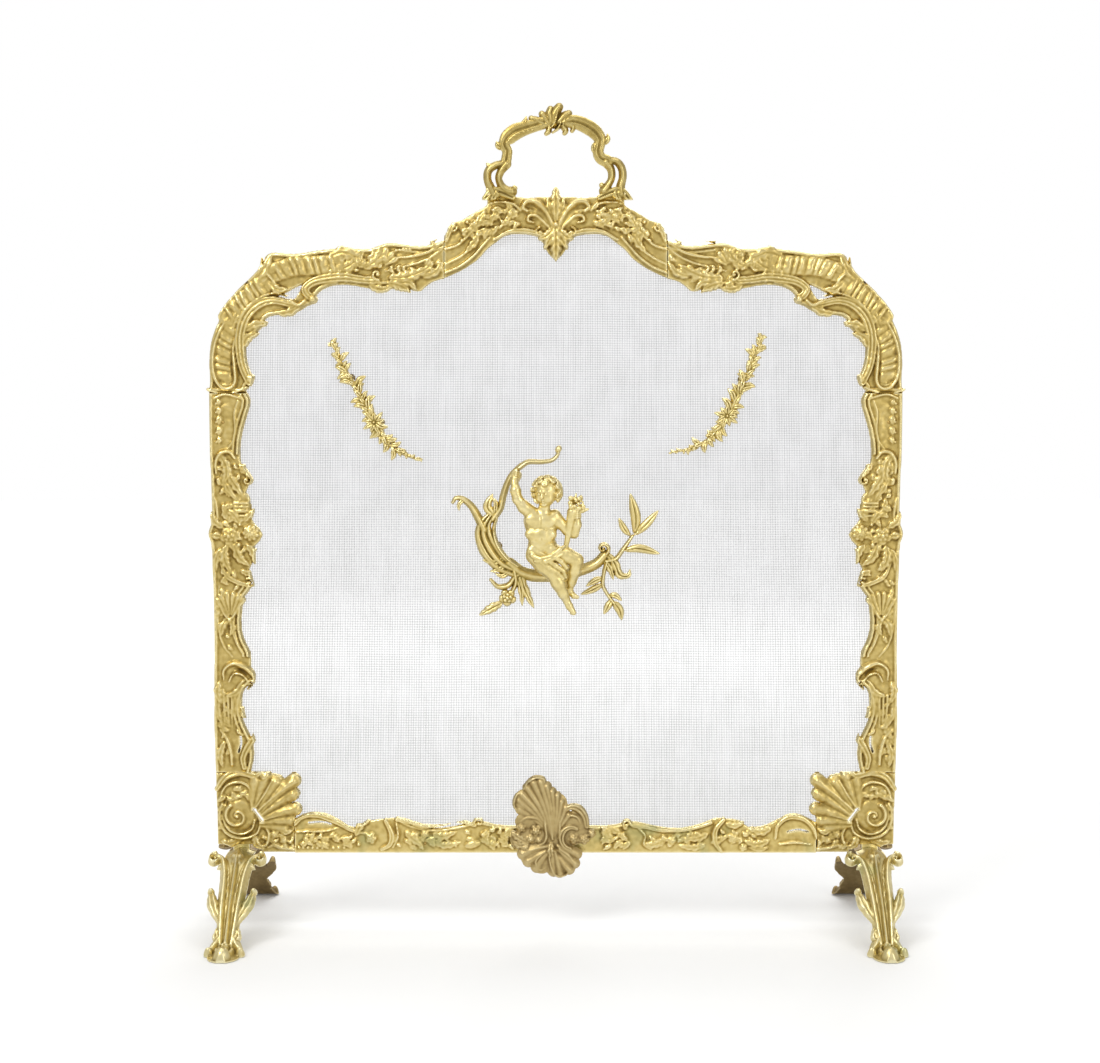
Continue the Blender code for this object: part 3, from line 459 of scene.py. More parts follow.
    def rosette(self, centre, radius, lift, petals=5, turn=0.0, heart=0.3, rings=2):
        """A flower: rings of cupped petals round a domed heart."""
        win, dx, dz = self.around(centre, radius + 1)
        far, angle = np.hypot(dx, dz), np.arctan2(dz, dx)
        for ring in range(rings):
            size = radius * (1 - 0.36 * ring)
            wave = np.abs(np.cos((angle + turn + ring * math.pi / petals) * petals / 2))
            rim = size * (0.74 + 0.26 * wave**0.6)
            q = np.clip(far / rim, 0, 1)
            cup = (0.55 + 0.45 * np.sin(math.pi * q * 0.62)) * (0.62 + 0.38 * wave**0.5) * dome(q**3)
            self.put(win, rim - far, lift * (0.66 + 0.3 * ring) * cup)
        self.bead(centre, radius * heart, lift * 1.12)

    def bead(self, centre, radius, lift, stretch=1.0, turn=0.0):
        """A half-round bead, or an oval one stretched along the angle turn."""
        win, dx, dz = self.around(centre, radius * max(stretch, 1) + 1)
        c, s = math.cos(math.radians(turn)), math.sin(math.radians(turn))
        q = np.hypot((dx * c + dz * s) / (radius * stretch), (dz * c - dx * s) / radius)
        self.put(win, radius * (1 - q), lift * dome(np.clip(q, 0, 1)))

    def beads(self, points, radius, pitch, lift):
        for place in smooth_path(points, pitch):
            self.bead(place, radius, lift)

    def volute(self, centre, radius, turns, start, way, width, lift, profile="round"):
        """A spiral scroll that winds inwards to a button. start is the outer end's angle in degrees."""
        u = np.linspace(0, 1, max(12, int(turns * 28)))
        spin = math.radians(start) + way * u * turns * 2 * math.pi
        grow = radius * (1 - 0.82 * u**0.85)
        path = np.stack([centre[0] + grow * np.cos(spin), centre[1] + grow * np.sin(spin)], 1)
        self.ridge(path, width, lift, profile, taper=(1, 0.85, 0.5), fall=0.6)
        self.bead(centre, radius * 0.22, lift * 1.1)

    def sprig(self, points, size, lift, pairs):
        """A stem with a leaf at its tip and small ones in pairs, each leaning along the stem."""
        path = smooth_path(points)
        self.ridge(points, size * 0.16, lift * 0.7, taper=(1, 0.8, 0.4))
        for index in range(pairs):
            at = int((index + 0.6) / (pairs + 0.4) * (len(path) - 2))
            here, along = path[at], path[at + 1] - path[at]
            heading = math.atan2(along[1], along[0])
            for way in (-1, 1):
                out = heading + way * 0.75
                long = size * (1 - 0.35 * index / pairs)
                end = here + long * toward(out)
                bend = (here + end) / 2 + 0.12 * long * toward(heading)
                self.leaf([here, bend, end], long * 0.30, lift, lobes=0, veins=0)
        heading = path[-1] - path[-3]
        heading = heading / max(np.hypot(*heading), 1e-6)
        self.leaf([path[-1], path[-1] + heading * size], size * 0.28, lift, lobes=0, veins=0)

    def pierce(self, points, width):
        """An opening right through, along a curve."""
        win, far, _, _, _ = self.follow(smooth_path(points), 12)
        self.edge[win] = np.minimum(self.edge[win], far - width)

    def chase(self, depth):
        """The slight unevenness of a hand-chased surface: soft dents a few millimetres across."""
        dents = np.random.default_rng(len(self.xs)).normal(size=self.top.shape)
        for _ in range(7):
            dents = 0.25 * beside(dents)
        self.top = self.top + depth * dents / dents.std()

    def ease(self, turns=1):
        """Softens the top the way that casting and chasing do."""
        for _ in range(turns):
            self.top = 0.5 * self.top + 0.125 * beside(self.top)


CELL_CASES = {
    1: [(0, 4, 7)], 2: [(1, 5, 4)], 3: [(0, 1, 5, 7)], 4: [(2, 6, 5)], 5: [(0, 4, 7), (2, 6, 5)],
    6: [(1, 2, 6, 4)], 7: [(0, 1, 2, 6, 7)], 8: [(3, 7, 6)], 9: [(0, 4, 6, 3)], 10: [(1, 5, 4), (3, 7, 6)],
    11: [(0, 1, 5, 6, 3)], 12: [(2, 3, 7, 5)], 13: [(0, 4, 5, 2, 3)], 14: [(1, 2, 3, 7, 4)],
              15: [(0, 1, 2, 3)],
}


def largest_body(inside):
    """Only the largest connected part of a mask."""
    label = np.where(inside, np.arange(inside.size).reshape(inside.shape), inside.size)
    while True:
        around = np.pad(label, 1, constant_values=inside.size)
        least = np.minimum(np.minimum(around[:-2, 1:-1], around[2:, 1:-1]),
                           np.minimum(around[1:-1, :-2], around[1:-1, 2:]))
        joined = np.where(inside, np.minimum(label, least), inside.size)
        joined = np.append(joined.ravel(), inside.size)[joined]
        if (joined == label).all():
            break
        label = joined
    names, sizes = np.unique(label[inside], return_counts=True)
    return inside & (label == names[sizes.argmax()])


def relief_faces(relief):
    """The part of the grid inside the outline: points as grid positions, and faces."""
    inside = largest_body(relief.edge > 0)
    relief.edge = np.where(inside, relief.edge, np.minimum(relief.edge, -0.2))
    rows, columns = inside.shape
    index = -np.ones(inside.shape, int)
    index[inside] = np.arange(inside.sum())
    j, i = np.nonzero(inside)
    points = [np.stack([i, j], 1).astype(float)]
    count = len(j)
    crossing = {}
    for axis, (dj, di) in enumerate(((0, 1), (1, 0))):
        first, second = inside[:rows - dj, :columns - di], inside[dj:, di:]
        cj, ci = np.nonzero(first != second)
        a, b = relief.edge[cj, ci], relief.edge[cj + dj, ci + di]
        t = np.clip(a / (a - b), 0.12, 0.88)
        grid = -np.ones(inside.shape, int)
        grid[cj, ci] = count + np.arange(len(cj))
        crossing[axis] = grid
        points.append(np.stack([ci + di * t, cj + dj * t], 1))
        count += len(cj)
    code = inside[:-1, :-1] + 2 * inside[:-1, 1:] + 4 * inside[1:, 1:] + 8 * inside[1:, :-1]
    faces = []
    for case, shapes in CELL_CASES.items():
        cj, ci = np.nonzero(code == case)
        if not len(cj):
            continue
        corner = [index[cj, ci], index[cj, ci + 1], index[cj + 1, ci + 1], index[cj + 1, ci],
                  crossing[0][cj, ci], crossing[1][cj, ci + 1], crossing[0][cj + 1, ci], crossing[1][cj, ci]]
        for shape in shapes:
            faces.extend(np.stack([corner[k] for k in shape], 1).tolist())
    return np.vstack(points), faces


def cast_relief(name, relief, material, node, foot=0.0, wall=CAST_WALL, bosses=(), bend=None,
                double=False, rim=1.0, gain=1.0, turned=False):
    """A closed casting: its relief in front, and behind a flat foot hollowed to the wall, or a second relief.

    bend moves the points, and turned is for a bend that mirrors them.
    """
    grid, faces = relief_faces(relief)
    i, j = grid[:, 0], grid[:, 1]
    i0 = np.clip(i.astype(int), 0, relief.x.shape[1] - 2)
    j0 = np.clip(j.astype(int), 0, relief.x.shape[0] - 2)
    fi, fj = i - i0, j - j0

    def at(field):
        low = field[j0, i0] * (1 - fi) + field[j0, i0 + 1] * fi
        high = field[j0 + 1, i0] * (1 - fi) + field[j0 + 1, i0 + 1] * fi
        return low * (1 - fj) + high * fj

    x, z, depth = at(relief.x), at(relief.z), np.maximum(at(relief.edge), 0)
    top = np.maximum(at(relief.top), rim)
    count = len(x)
    sides = defaultdict(int)
    for face in faces:
        for p, q in zip(face, face[1:] + face[:1]):
            if (q, p) in sides:
                del sides[q, p]
            else:
                sides[p, q] = 1
    if double:
        back = -top
    else:
        back = np.maximum(top - wall, 0) * np.clip((depth - 2.0) / 3.0, 0, 1)
        for bx, bz, size in bosses:
            back = back * np.clip((np.hypot(x - bx, z - bz) - size) / 1.5, 0, 1)
    front = np.stack([x, -(foot + top), z], 1)
    rear = np.stack([x, -(foot + back), z], 1)
    verts = np.vstack([front, rear])
    closed = faces + [[k + count for k in reversed(face)] for face in faces]
    closed += [[q, p, p + count, q + count] for p, q in sides]
    if bend:
        verts = bend(verts)
    if turned:
        closed = [face[::-1] for face in closed]
    return mesh_piece(name, verts, closed, material, node, sharp=62, gain=gain)


# ---------------------------------------------------------------- frame castings

class Casting(Relief):
    """A frame casting's relief on its CAD outline, drawn for the right side and mirrored for the left."""

    def __init__(self, node, side=1, joints=(), overhang=3.4):
        loops = [loop * (side, 1) for loop in cad_loops(node)]
        low, high = np.min([loop.min(0) for loop in loops], 0), np.max([loop.max(0) for loop in loops], 0)
        super().__init__(low - 3, high + 3)
        self.node, self.side, self.joints = node, side, joints
        shape = self.x.shape
        inside = np.zeros(shape, bool)
        outer, inner, every = np.full(shape, 40.0), np.full(shape, 40.0), np.full(shape, 12.0)
        rim = np.full(shape, 12.0)
        loops.sort(key=lambda loop: -np.ptp(loop[:, 0]) * np.ptp(loop[:, 1]))
        for rank, loop in enumerate(loops):
            ends = np.roll(loop, -1, axis=0)
            area = (loop[:, 0] * ends[:, 1] - ends[:, 0] * loop[:, 1]).sum()
            for p, q in zip(loop, ends):
                rows = slice(*np.searchsorted(self.zs, sorted((p[1], q[1]))))
                if rows.stop > rows.start:
                    cross = p[0] + (self.z[rows] - p[1]) * (q[0] - p[0]) / (q[1] - p[1])
                    inside[rows] ^= self.x[rows] < cross
                self._near(every, p, q, 12)
                if self._on_joint(p) and self._on_joint(q):
                    continue
                self._near(rim, p, q, 12)
                out = np.array([q[1] - p[1], p[0] - q[0]]) * np.sign(area)
                middle = (p + q) / 2 - SCREEN_MIDDLE
                if rank == 0:
                    self._near(outer if out @ middle > 0 else inner, p, q, 40)
        sign = np.where(inside, 1, -1)
        self.edge, self.rim = sign * every, sign * rim
        self.limit = self.edge + overhang
        self.outer, self.inner = outer, inner
        self.across = outer / np.maximum(outer + inner, 1e-6)

    def _on_joint(self, p):
        return any(abs(p["xz".index(joint[0])] - joint[1]) < 0.5 for joint in self.joints)

    def _near(self, field, p, q, reach):
        win = self.window(np.minimum(p, q) - reach, np.maximum(p, q) + reach)
        d = q - p
        dx, dz = self.x[win] - p[0], self.z[win] - p[1]
        t = np.clip((dx * d[0] + dz * d[1]) / max(d @ d, 1e-9), 0, 1)
        field[win] = np.minimum(field[win], np.hypot(dx - t * d[0], dz - t * d[1]))

    def section(self, low, crown, hollow=0.0, at=0.45, spread=0.2):
        """The plain section across the rail: crowned, with an optional cove."""
        t = np.clip(self.across, 0, 1)
        shape = low + crown * np.sin(math.pi * t) ** 0.6 - hollow * np.exp(-((t - at) / spread) ** 2)
        self.ground = np.maximum(shape, 1.0)
        self.top = self.ground.copy()

    def lip(self, field, at, width, lift, where=None):
        """A bead that runs parallel to one edge of the rail, where the mask says."""
        raised = self.ground + lift * dome(np.clip((field - at) / width, -1, 1))
        near = np.abs(field - at) < width
        near = near if where is None else near & where
        self.top = np.where(near, np.maximum(self.top, raised), self.top)

    def put(self, win, inside, lift, cut=False):
        inside = np.minimum(inside, self.limit[win])
        super().put(win, inside, 0.8 * lift, cut)
        if not cut:
            self.rim[win] = np.maximum(self.rim[win], inside)

    def foliage(self, points, reach, size, lift, count, seed):
        """Small leaves crowded round a curve, where the chaser filled the ground between the larger ones."""
        outline, rim = self.edge.copy(), self.rim.copy()
        rng = np.random.default_rng(seed)
        path = smooth_path(points)
        for _ in range(count):
            at = rng.integers(0, len(path) - 1)
            along = path[at + 1] - path[at]
            heading = math.atan2(along[1], along[0])
            way = rng.choice((-1, 1))
            start = path[at] + rng.uniform(-1, 1) * reach * np.array([-math.sin(heading), math.cos(heading)])
            long = size * rng.uniform(0.7, 1.3)
            leaf = [start]
            for turn in (0.2, 0.9):
                out = heading + way * (turn + rng.uniform(-0.3, 0.4))
                leaf.append(leaf[-1] + 0.52 * long * toward(out))
            self.leaf(leaf, long * rng.uniform(0.28, 0.38), lift * rng.uniform(0.7, 1.2), 3, 0.1, 0.2)
        self.edge, self.rim = outline, rim

    def cast(self, material, edge_radius=3.4):
        """The finished casting, with solid metal left round the screws, bolts and tabs behind it."""
        for axis, place, keep, *below in self.joints:
            # A hair past the joint, so that no light shows between two castings that touch.
            cut = ((self.x if axis == "x" else self.z) - place) * keep + 0.2
            beyond = np.roll(self.edge, -keep, 1 if axis == "x" else 0)
            self.edge = np.where(np.abs(cut) < 1.2, np.maximum(self.edge, beyond), self.edge)
            self.edge = np.minimum(self.edge, np.where(self.z < (below or [1e3])[0], cut, 9))
        self.edge = np.minimum(self.edge, CAD_HIGH.x / MM - 0.4 - np.abs(self.x))
        self.chase(0.26)
        self.ease(2)
        near = np.clip(self.rim / edge_radius, 0, 1)
        self.top = np.minimum(self.top, 0.9 + (0.35 + 0.65 * dome(1 - near)) * 11 * near**0.4)
        side = self.side

        def mirror(verts):
            return verts * (side, 1, 1)

        screws = [(side * x, z, 3.4) for x, z in FIXINGS]
        return cast_relief(f"{self.node}_casting", self, material, self.node, bosses=screws,
                           bend=mirror, gain=0.55, turned=side < 0)


def screw_places(*words):
    """Where the screws whose names hold one of the words stand, in mm."""
    found = []
    for name in frame["nodes"]:
        if any(word in name for word in words) and ("_screw" in name or "_bolt" in name):
            low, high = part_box(name)
            found.append(((low.x + high.x) / 2 / MM, (low.z + high.z) / 2 / MM))
    return found


FIXINGS = screw_places("strap", "bolt", "handle", "palmette")


def shoulder(side):
    """Gadroons round the bend, a C-scroll inside them, and a sweep of leaves and cove up to the crest."""
    joints = [("x", JOINT_CREST + 0.06, 1), ("z", JOINT_HIGH + 0.06, 1)]
    r = Casting(f"{SIDES[side]}_shoulder_rail", side, joints)
    r.section(3.0, 2.2, 0.8, 0.5, 0.25)
    bend = (r.z < 590) | (r.x > 205)
    r.lip(r.outer, 2.2, 1.7, 2.6)
    r.lip(r.inner, 2.4, 1.8, 2.4, bend)
    r.lip(r.outer, 6.2, 1.3, 1.6, r.x < 150)
    r.lip(r.inner, 6.0, 1.4, 1.8, (r.x < 200) & (r.x > 145))
    # The gadrooned band round the bend, and along the top to the leaves.
    r.gadroons([(308, 586), (298, 597), (287, 606), (276, 616)], 10.5, 5.4, 6.6, 0.3, 0.45)
    r.gadroons([(263, 627), (247, 632), (229, 633), (207, 634)], 9.6, 5.0, 7.4, -0.3, 0.45)
    r.leaf([(270, 618), (262, 611), (252, 611)], 5.0, 5.6, 3)
    r.ridge([(276, 630), (268, 622), (262, 614)], 2.6, 6.6, taper=(0.6, 1, 0.5))
    # The long cup at the foot: short ribs inside a rim that turns back on itself.
    r.gadroons([(313, 526), (314.5, 542), (312, 560), (306, 577)], 8.0, 3.8, 7.2, 0.3, 0.35)
    r.ridge([(303, 589), (313, 578), (320.5, 562), (323.5, 545), (322, 530), (316, 519.5), (308, 518),
             (302.5, 525), (303, 540), (304, 556), (300, 571)], 2.7, 6.0, "round", (0.5, 0.9, 1, 1, 0.5))
    r.leaf([(306, 574), (300, 586), (292, 594)], 5.0, 5.4, 4)
    # C-scrolls on its inner side.
    r.ridge([(289, 524), (295, 538), (297.5, 553), (297, 570), (291, 586), (279, 597), (265, 600.5),
             (248, 597)], 5.4, 5.8, "triple", (0.8, 1, 0.7))
    r.bead((288, 527), 4.6, 7.0)
    r.ridge([(300, 552), (301, 570), (295, 587), (283, 600), (266, 607), (250, 604)], 1.9, 5.8, "round",
            (0.4, 1, 0.5))
    r.ridge([(250, 600), (242, 596), (236, 600)], 3.0, 5.8, taper=(0.8, 1, 0.8))
    r.ridge([(229, 602), (234, 607), (235, 612), (227, 618), (213, 621), (198, 622), (184, 620), (171, 619)],
            5.0, 5.6, "triple", (0.8, 1, 0.8))
    r.bead((228.5, 601.5), 4.2, 7.2)
    r.volute((168, 624.5), 5.2, 1.1, 250, 1, 2.0, 5.6)
    r.ridge([(329, 517), (318, 513.5), (306, 513.5), (292, 519)], 2.2, 4.8, taper=(0.8, 1, 0.8))
    r.ridge([(318, 524), (311, 521), (304, 523)], 1.5, 4.6, taper=(0.6, 1, 0.6))
    # Leaves that break the inner edge, and the spiked leaf at the turn of the outer one.
    r.leaf([(296, 556), (290, 566), (280, 570)], 4.6, 4.6, 3)
    r.leaf([(293, 572), (283, 578), (270, 579)], 4.8, 4.8, 3)
    r.leaf([(262, 588), (250, 590), (238, 596)], 4.4, 4.6, 3)
    r.leaf([(290, 618), (283, 629), (276, 641)], 6.5, 5.6, 3)
    r.leaf([(286, 616), (275, 628), (267, 643)], 6.5, 6.0, 3)
    r.leaf([(300, 603), (296, 616), (287, 626)], 5.0, 5.0, 3)
    # Flower and leaf cluster on the run up to the crest.
    r.leaf([(214, 640), (200, 645), (186, 640), (176, 632)], 7.0, 4.8, 5)
    r.leaf([(205, 628), (192, 634), (180, 646)], 5.6, 4.6, 4)
    r.rosette((186, 636), 6.4, 5.4, 6)
    r.leaf([(180, 630), (168, 638), (160, 650)], 5.8, 4.8, 4)
    r.bead((197, 619), 2.4, 4.6)
    r.fan((163, 632), 20, 165, 3, 19, 6, 4.4, lobe=0.2)
    r.leaf([(176, 615), (166, 611), (155, 612)], 4.4, 4.4, 3)
    # The acanthus below the cove.
    r.leaf([(158, 617), (146, 614), (137, 608)], 5.4, 5.0, 4)
    r.leaf([(157, 622), (141, 622), (127, 627), (116, 633)], 6.6, 5.4, 6)
    r.leaf([(150, 616), (138, 617), (131, 610)], 4.6, 5.6, 3)
    r.leaf([(125, 622), (113, 627), (106, 636)], 4.4, 4.4, 3)
    r.ridge([(155, 640), (138, 641), (121, 645), (108, 653)], 2.4, 4.0, taper=(0.4, 1, 0.6))
    r.ridge([(150, 632), (134, 634), (119, 640), (107, 648)], 1.8, 3.0, taper=(0.3, 1, 0.5))
    r.foliage([(212, 636), (196, 636), (180, 640), (164, 640)], 9, 7.5, 4.2, 26, 5 + side)
    r.foliage([(172, 617), (150, 619), (128, 626), (110, 634)], 6, 7, 3.6, 18, 8 + side)
    r.foliage([(312, 598), (304, 590), (300, 580)], 5, 6, 3.2, 8, 2 + side)
    r.sprig([(121, 650), (112, 658), (106, 664)], 5.0, 3.6, 2)
    r.sprig([(218, 626), (204, 626), (190, 628)], 6.0, 5.2, 3)
    r.sprig([(160, 628), (150, 630), (138, 630)], 6.0, 4.6, 3)
    if side < 0:
        r.beads([(150, 647), (143, 648), (137, 648)], 1.7, 3.6, 3.6)
    else:
        r.leaf([(182, 655), (170, 657), (158, 660)], 5.0, 4.8, 4)
        r.leaf([(150, 655), (143, 659), (133, 658)], 3.6, 4.0, 3)
    return r.cast(GILT)


def upright(side):
    """A rose between shells and scrolls, with a smooth double bead along the inner edge."""
    r = Casting(f"{SIDES[side]}_upright", side, [("z", JOINT_LOW, 1), ("z", JOINT_HIGH, -1)])
    r.section(2.6, 2.0, 0.9, 0.42, 0.22)
    plain = (r.z > 455) | ((r.z > 262) & (r.z < 330)) | ((r.z > 185) & (r.z < 240))
    r.lip(r.inner, 2.4, 1.8, 2.8, plain | (r.z < 195))
    r.lip(r.inner, 6.4, 1.4, 2.0, plain)
    r.lip(r.outer, 2.0, 1.5, 2.2)
    # Cove under the shoulder, with a chain of bellflowers down its outer side.
    r.ridge([(323, 509), (312, 512.5), (298, 509)], 2.0, 3.6, taper=(0.7, 1, 0.7))
    for z, size in ((505, 3.2), (497, 3.8), (488, 4.2), (478, 4.2), (469, 3.6)):
        r.leaf([(319.5, z + size), (318.5, z), (319, z - size)], size * 0.8, 3.6, 0)
        r.bead((321.5, z - size * 0.4), 1.2, 3.4)
    r.ridge([(300, 506), (303, 495), (302, 480), (305, 468), (312, 459)], 2.6, 3.2, "left", (0.5, 1, 0.5))
    # The arched scroll and its leaves.
    r.ridge([(304, 452), (309, 458), (317, 457), (322, 449), (322, 438)], 3.0, 5.2, "round", (0.6, 1, 0.5))
    r.leaf([(318, 455), (313, 446), (312, 436), (317, 426)], 5.6, 4.8, 5)
    r.leaf([(312, 440), (306, 430), (297, 416)], 5.0, 5.0, 4)
    r.leaf([(317, 436), (311, 424), (302, 411)], 3.6, 4.6, 3)
    r.leaf([(300, 446), (294, 440), (290, 432)], 4.2, 4.4, 3)
    r.bead((319.5, 430), 2.6, 5.2, 1.7, 80)
    r.bead((316.5, 421), 2.0, 4.6, 1.5, 70)
    r.volute((293, 431), 5.2, 1.2, 90, 1, 1.9, 5.2)
    r.gadroons([(299, 412), (299, 396)], 8.5, 4.4, 4.2)
    r.ridge([(325, 418), (322, 406), (321, 392)], 2.2, 3.6, taper=(0.4, 1, 0.5))
    r.foliage([(312, 452), (308, 430), (306, 405), (305, 375), (307, 345), (309, 332)], 11, 8, 3.8, 52,
              21 + side)
    r.foliage([(318, 330), (319, 300), (316, 270)], 4.5, 7, 3.0, 14, 23 + side)
    r.foliage([(318, 232), (318, 200), (317, 160)], 6, 8, 3.0, 18, 25 + side)
    # The rose and the daisy, with leaves that break the outline.
    r.leaf([(316, 386), (324, 392), (327.5, 401)], 4.4, 4.4, 3)
    r.leaf([(318, 378), (325, 379), (327.8, 380)], 4.6, 5.6, 0)
    r.leaf([(296, 392), (291, 398), (287, 404)], 3.6, 4.6, 3)
    r.leaf([(300, 390), (306, 399), (314, 403)], 4.4, 4.8, 3)
    r.rosette((310.5, 378), 9.4, 6.2, 5, 0.3)
    r.rosette((311, 379), 5.0, 7.6, 5, 1.0, rings=1)
    r.rosette((290, 381), 8.6, 5.6, 9, 0.0, 0.42)
    for k in range(7):
        turn = 2 * math.pi * k / 7
        r.bead((290 + 2.2 * math.cos(turn), 381 + 2.2 * math.sin(turn)), 0.9, 7.2)
    r.bead((301, 370), 2.6, 5.6)
    r.bead((300, 389), 2.0, 5.2)
    r.leaf([(306, 370), (301, 358), (292, 350)], 5.4, 5.0, 4)
    r.leaf([(314, 369), (315, 357), (310, 344)], 5.6, 5.0, 5)
    r.leaf([(319, 366), (323, 356), (324, 344)], 3.8, 4.0, 3)
    r.leaf([(294, 370), (288, 362), (287, 351)], 4.4, 4.6, 3)
    r.ridge([(319, 352), (313, 340), (303, 334), (293, 331)], 2.6, 4.6, "twin", (0.4, 1, 0.8))
    r.volute((291.5, 333), 5.2, 1.2, 60, 1, 1.9, 5.0)
    r.leaf([(300, 345), (293, 342), (289, 338)], 3.6, 4.4, 3)
    # Ribbed cup and the moulding below it.
    r.fan((310.5, 299), 48, 132, 3, 27, 6, 4.4, 0.14, 0.4)
    r.ridge([(321, 322), (319, 309), (311, 299), (303, 309), (301, 322)], 1.9, 4.6, taper=(0.5, 1, 0.5))
    r.leaf([(312, 300), (318, 292), (320, 282)], 4.2, 4.2, 3)
    r.leaf([(310, 298), (308, 291), (311, 283)], 3.8, 4.2, 3)
    r.bead((311, 298), 2.2, 5.4)
    r.ridge([(321, 330), (323, 310), (322, 290), (318, 274), (309, 262)], 1.6, 3.0, taper=(0.3, 1, 0.4))
    r.ridge([(309, 287), (305, 277), (300, 266)], 2.0, 3.6, taper=(0.4, 1, 0.6))
    # Crescent of C-scrolls over a dark hollow.
    r.ridge([(318, 240), (317, 250), (308, 256), (297, 252), (289, 243), (288, 234), (294, 231)], 3.4, 5.6,
            "round", (0.4, 1, 0.6))
    r.ridge([(313, 238), (308, 246), (300, 245), (294, 238)], 1.8, 5.0, taper=(0.4, 1, 0.6))
    r.ridge([(308, 251), (300, 249), (296, 244)], 1.5, 3.2, cut=True)
    r.volute((292, 235), 4.6, 1.1, 100, 1, 1.7, 5.2)
    r.leaf([(322, 238), (324, 228), (320, 217)], 4.4, 4.4, 4)
    r.leaf([(300, 236), (306, 228), (316, 224)], 4.0, 4.2, 3)
    # The long ribbed cove.
    for k in range(5):
        r.ridge([(302 + 4.0 * k, 229 - k), (303 + 3.6 * k, 212), (305 + 2.8 * k, 194)], 1.7, 2.9,
                taper=(0.9, 1, 0.2))
    r.leaf([(304, 214), (298, 206), (291, 201)], 4.2, 4.2, 3)
    r.leaf([(324, 220), (323, 206), (318, 194)], 3.0, 3.4, 4)
    # The lower scroll with its slot.
    r.ridge([(291, 196), (289, 186), (295, 176), (300, 165), (299, 155)], 3.8, 5.0, "twin", (0.4, 1, 0.7))
    r.ridge([(322, 192), (316, 184), (312, 172), (311, 158)], 3.0, 4.6, "round", (0.4, 1, 0.7))
    r.ridge([(306, 192), (304, 189), (300, 187)], 2.2, 4.0, taper=(0.5, 1, 0.6))
    r.leaf([(318, 180), (322, 168), (320, 155)], 4.0, 4.2, 4)
    r.bead((293, 194), 2.6, 5.0)
    r.pierce([(302.5, 185), (302, 178), (304.5, 170)], 1.1)
    return r.cast(GILT)


def corner(side):
    """A shell of lobes that springs from a big volute, under a cabochon and double arcs."""
    joints = [("z", JOINT_LOW - 0.06, -1), ("x", JOINT_RAIL + 0.06, 1, RAIL_TOP)]
    r = Casting(f"{SIDES[side]}_corner", side, joints, overhang=9)
    r.section(2.6, 1.8)
    # A smooth shell leaf: broad rounded lobes in a fan, folded along its middle.
    for points, width, lift in (
            ([(292, 114), (291, 129), (289, 143)], 6.4, 4.6),
            ([(290, 114), (284, 131), (279, 146)], 6.6, 5.2),
            ([(287, 112), (276, 130), (268, 141)], 7.4, 6.0),
            ([(285, 110), (269, 128), (252, 142)], 8.0, 7.0),
            ([(284, 108), (267, 121), (253, 129)], 7.6, 6.4),
            ([(284, 105), (267, 111), (251, 114)], 7.4, 6.0),
            ([(284, 101), (270, 103), (256, 103)], 6.8, 5.2), ([(283, 98), (273, 97), (262, 96)], 6.0, 4.4)):
        r.ridge(points, width, lift, "round", (0.45, 0.85, 0.9), fall=0.7)
    for points, lift in (
            ([(287, 113), (276, 123), (262, 134), (248, 141)], 8.4),
            ([(285, 108), (273, 117), (258, 124)], 7.2), ([(288, 117), (279, 131), (272, 144)], 7.0),
            ([(284, 103), (273, 107), (260, 110)], 6.2), ([(286, 112), (273, 127), (262, 141)], 7.0)):
        r.ridge(points, 1.7, lift, taper=(0.7, 1, 0.3), fall=0.75)
    # Arched hood over a smooth hollow, and the volute that it rests on.
    r.ridge([(326, 134), (317, 146), (304, 150.5), (290, 147), (284, 150)], 4.4, 5.4, "twin", (0.6, 1, 0.6))
    r.ridge([(323, 126), (317, 137), (305, 141), (295, 136), (291, 125)], 2.4, 4.4, taper=(0.5, 1, 0.5))
    r.foliage([(316, 120), (309, 130), (299, 128)], 5, 7, 3.0, 12, 31 + side)
    r.bead((306, 108), 16, 5.0)
    r.volute((306, 108), 12.5, 1.2, 60, -1, 3.8, 8.6)
    r.ridge([(318, 119), (320, 107), (314.5, 95), (303, 90.5), (293, 95), (289.5, 104)], 2.6, 6.4,
            taper=(0.5, 1, 0.5))
    r.ridge([(321, 120), (323.5, 106), (317.5, 92), (303, 86), (289, 90), (284, 100)], 2.8, 5.6, "round",
            (0.5, 1, 0.5))
    for z in (96, 105, 114, 123):
        r.leaf([(318, z + 5), (322, z + 1), (326, z - 1)], 3.2, 4.2, 0)
    r.leaf([(303, 85), (313, 81), (323, 83)], 4.4, 4.0, 3)
    r.foliage([(284, 82), (270, 84), (254, 83)], 6, 6.5, 3.6, 14, 33 + side)
    # Small leaves and a flower where the rail begins.
    r.ridge([(281, 99), (276, 90), (279, 80), (286, 77)], 2.4, 5.0, taper=(0.6, 1, 0.5))
    r.leaf([(290, 88), (288, 80), (281, 75)], 4.4, 5.0, 3)
    r.rosette((271, 90), 5.0, 5.6, 5)
    r.rosette((262, 84), 4.6, 4.8, 5, 0.5)
    r.leaf([(266, 95), (259, 92), (253, 94)], 3.4, 4.8, 3)
    r.ridge([(251, 75), (262, 76.5), (272, 79), (277, 77)], 2.2, 4.0, taper=(0.8, 1, 0.5))
    r.bead((278, 82), 2.0, 5.6)
    r.pierce([(290, 114.5), (282.5, 104)], 1.9)
    return r.cast(GILT, edge_radius=3.0)


def mirror_to(side):
    """What takes points of the right side to this side."""
    return lambda points: [(side * x, z) for x, z in points]


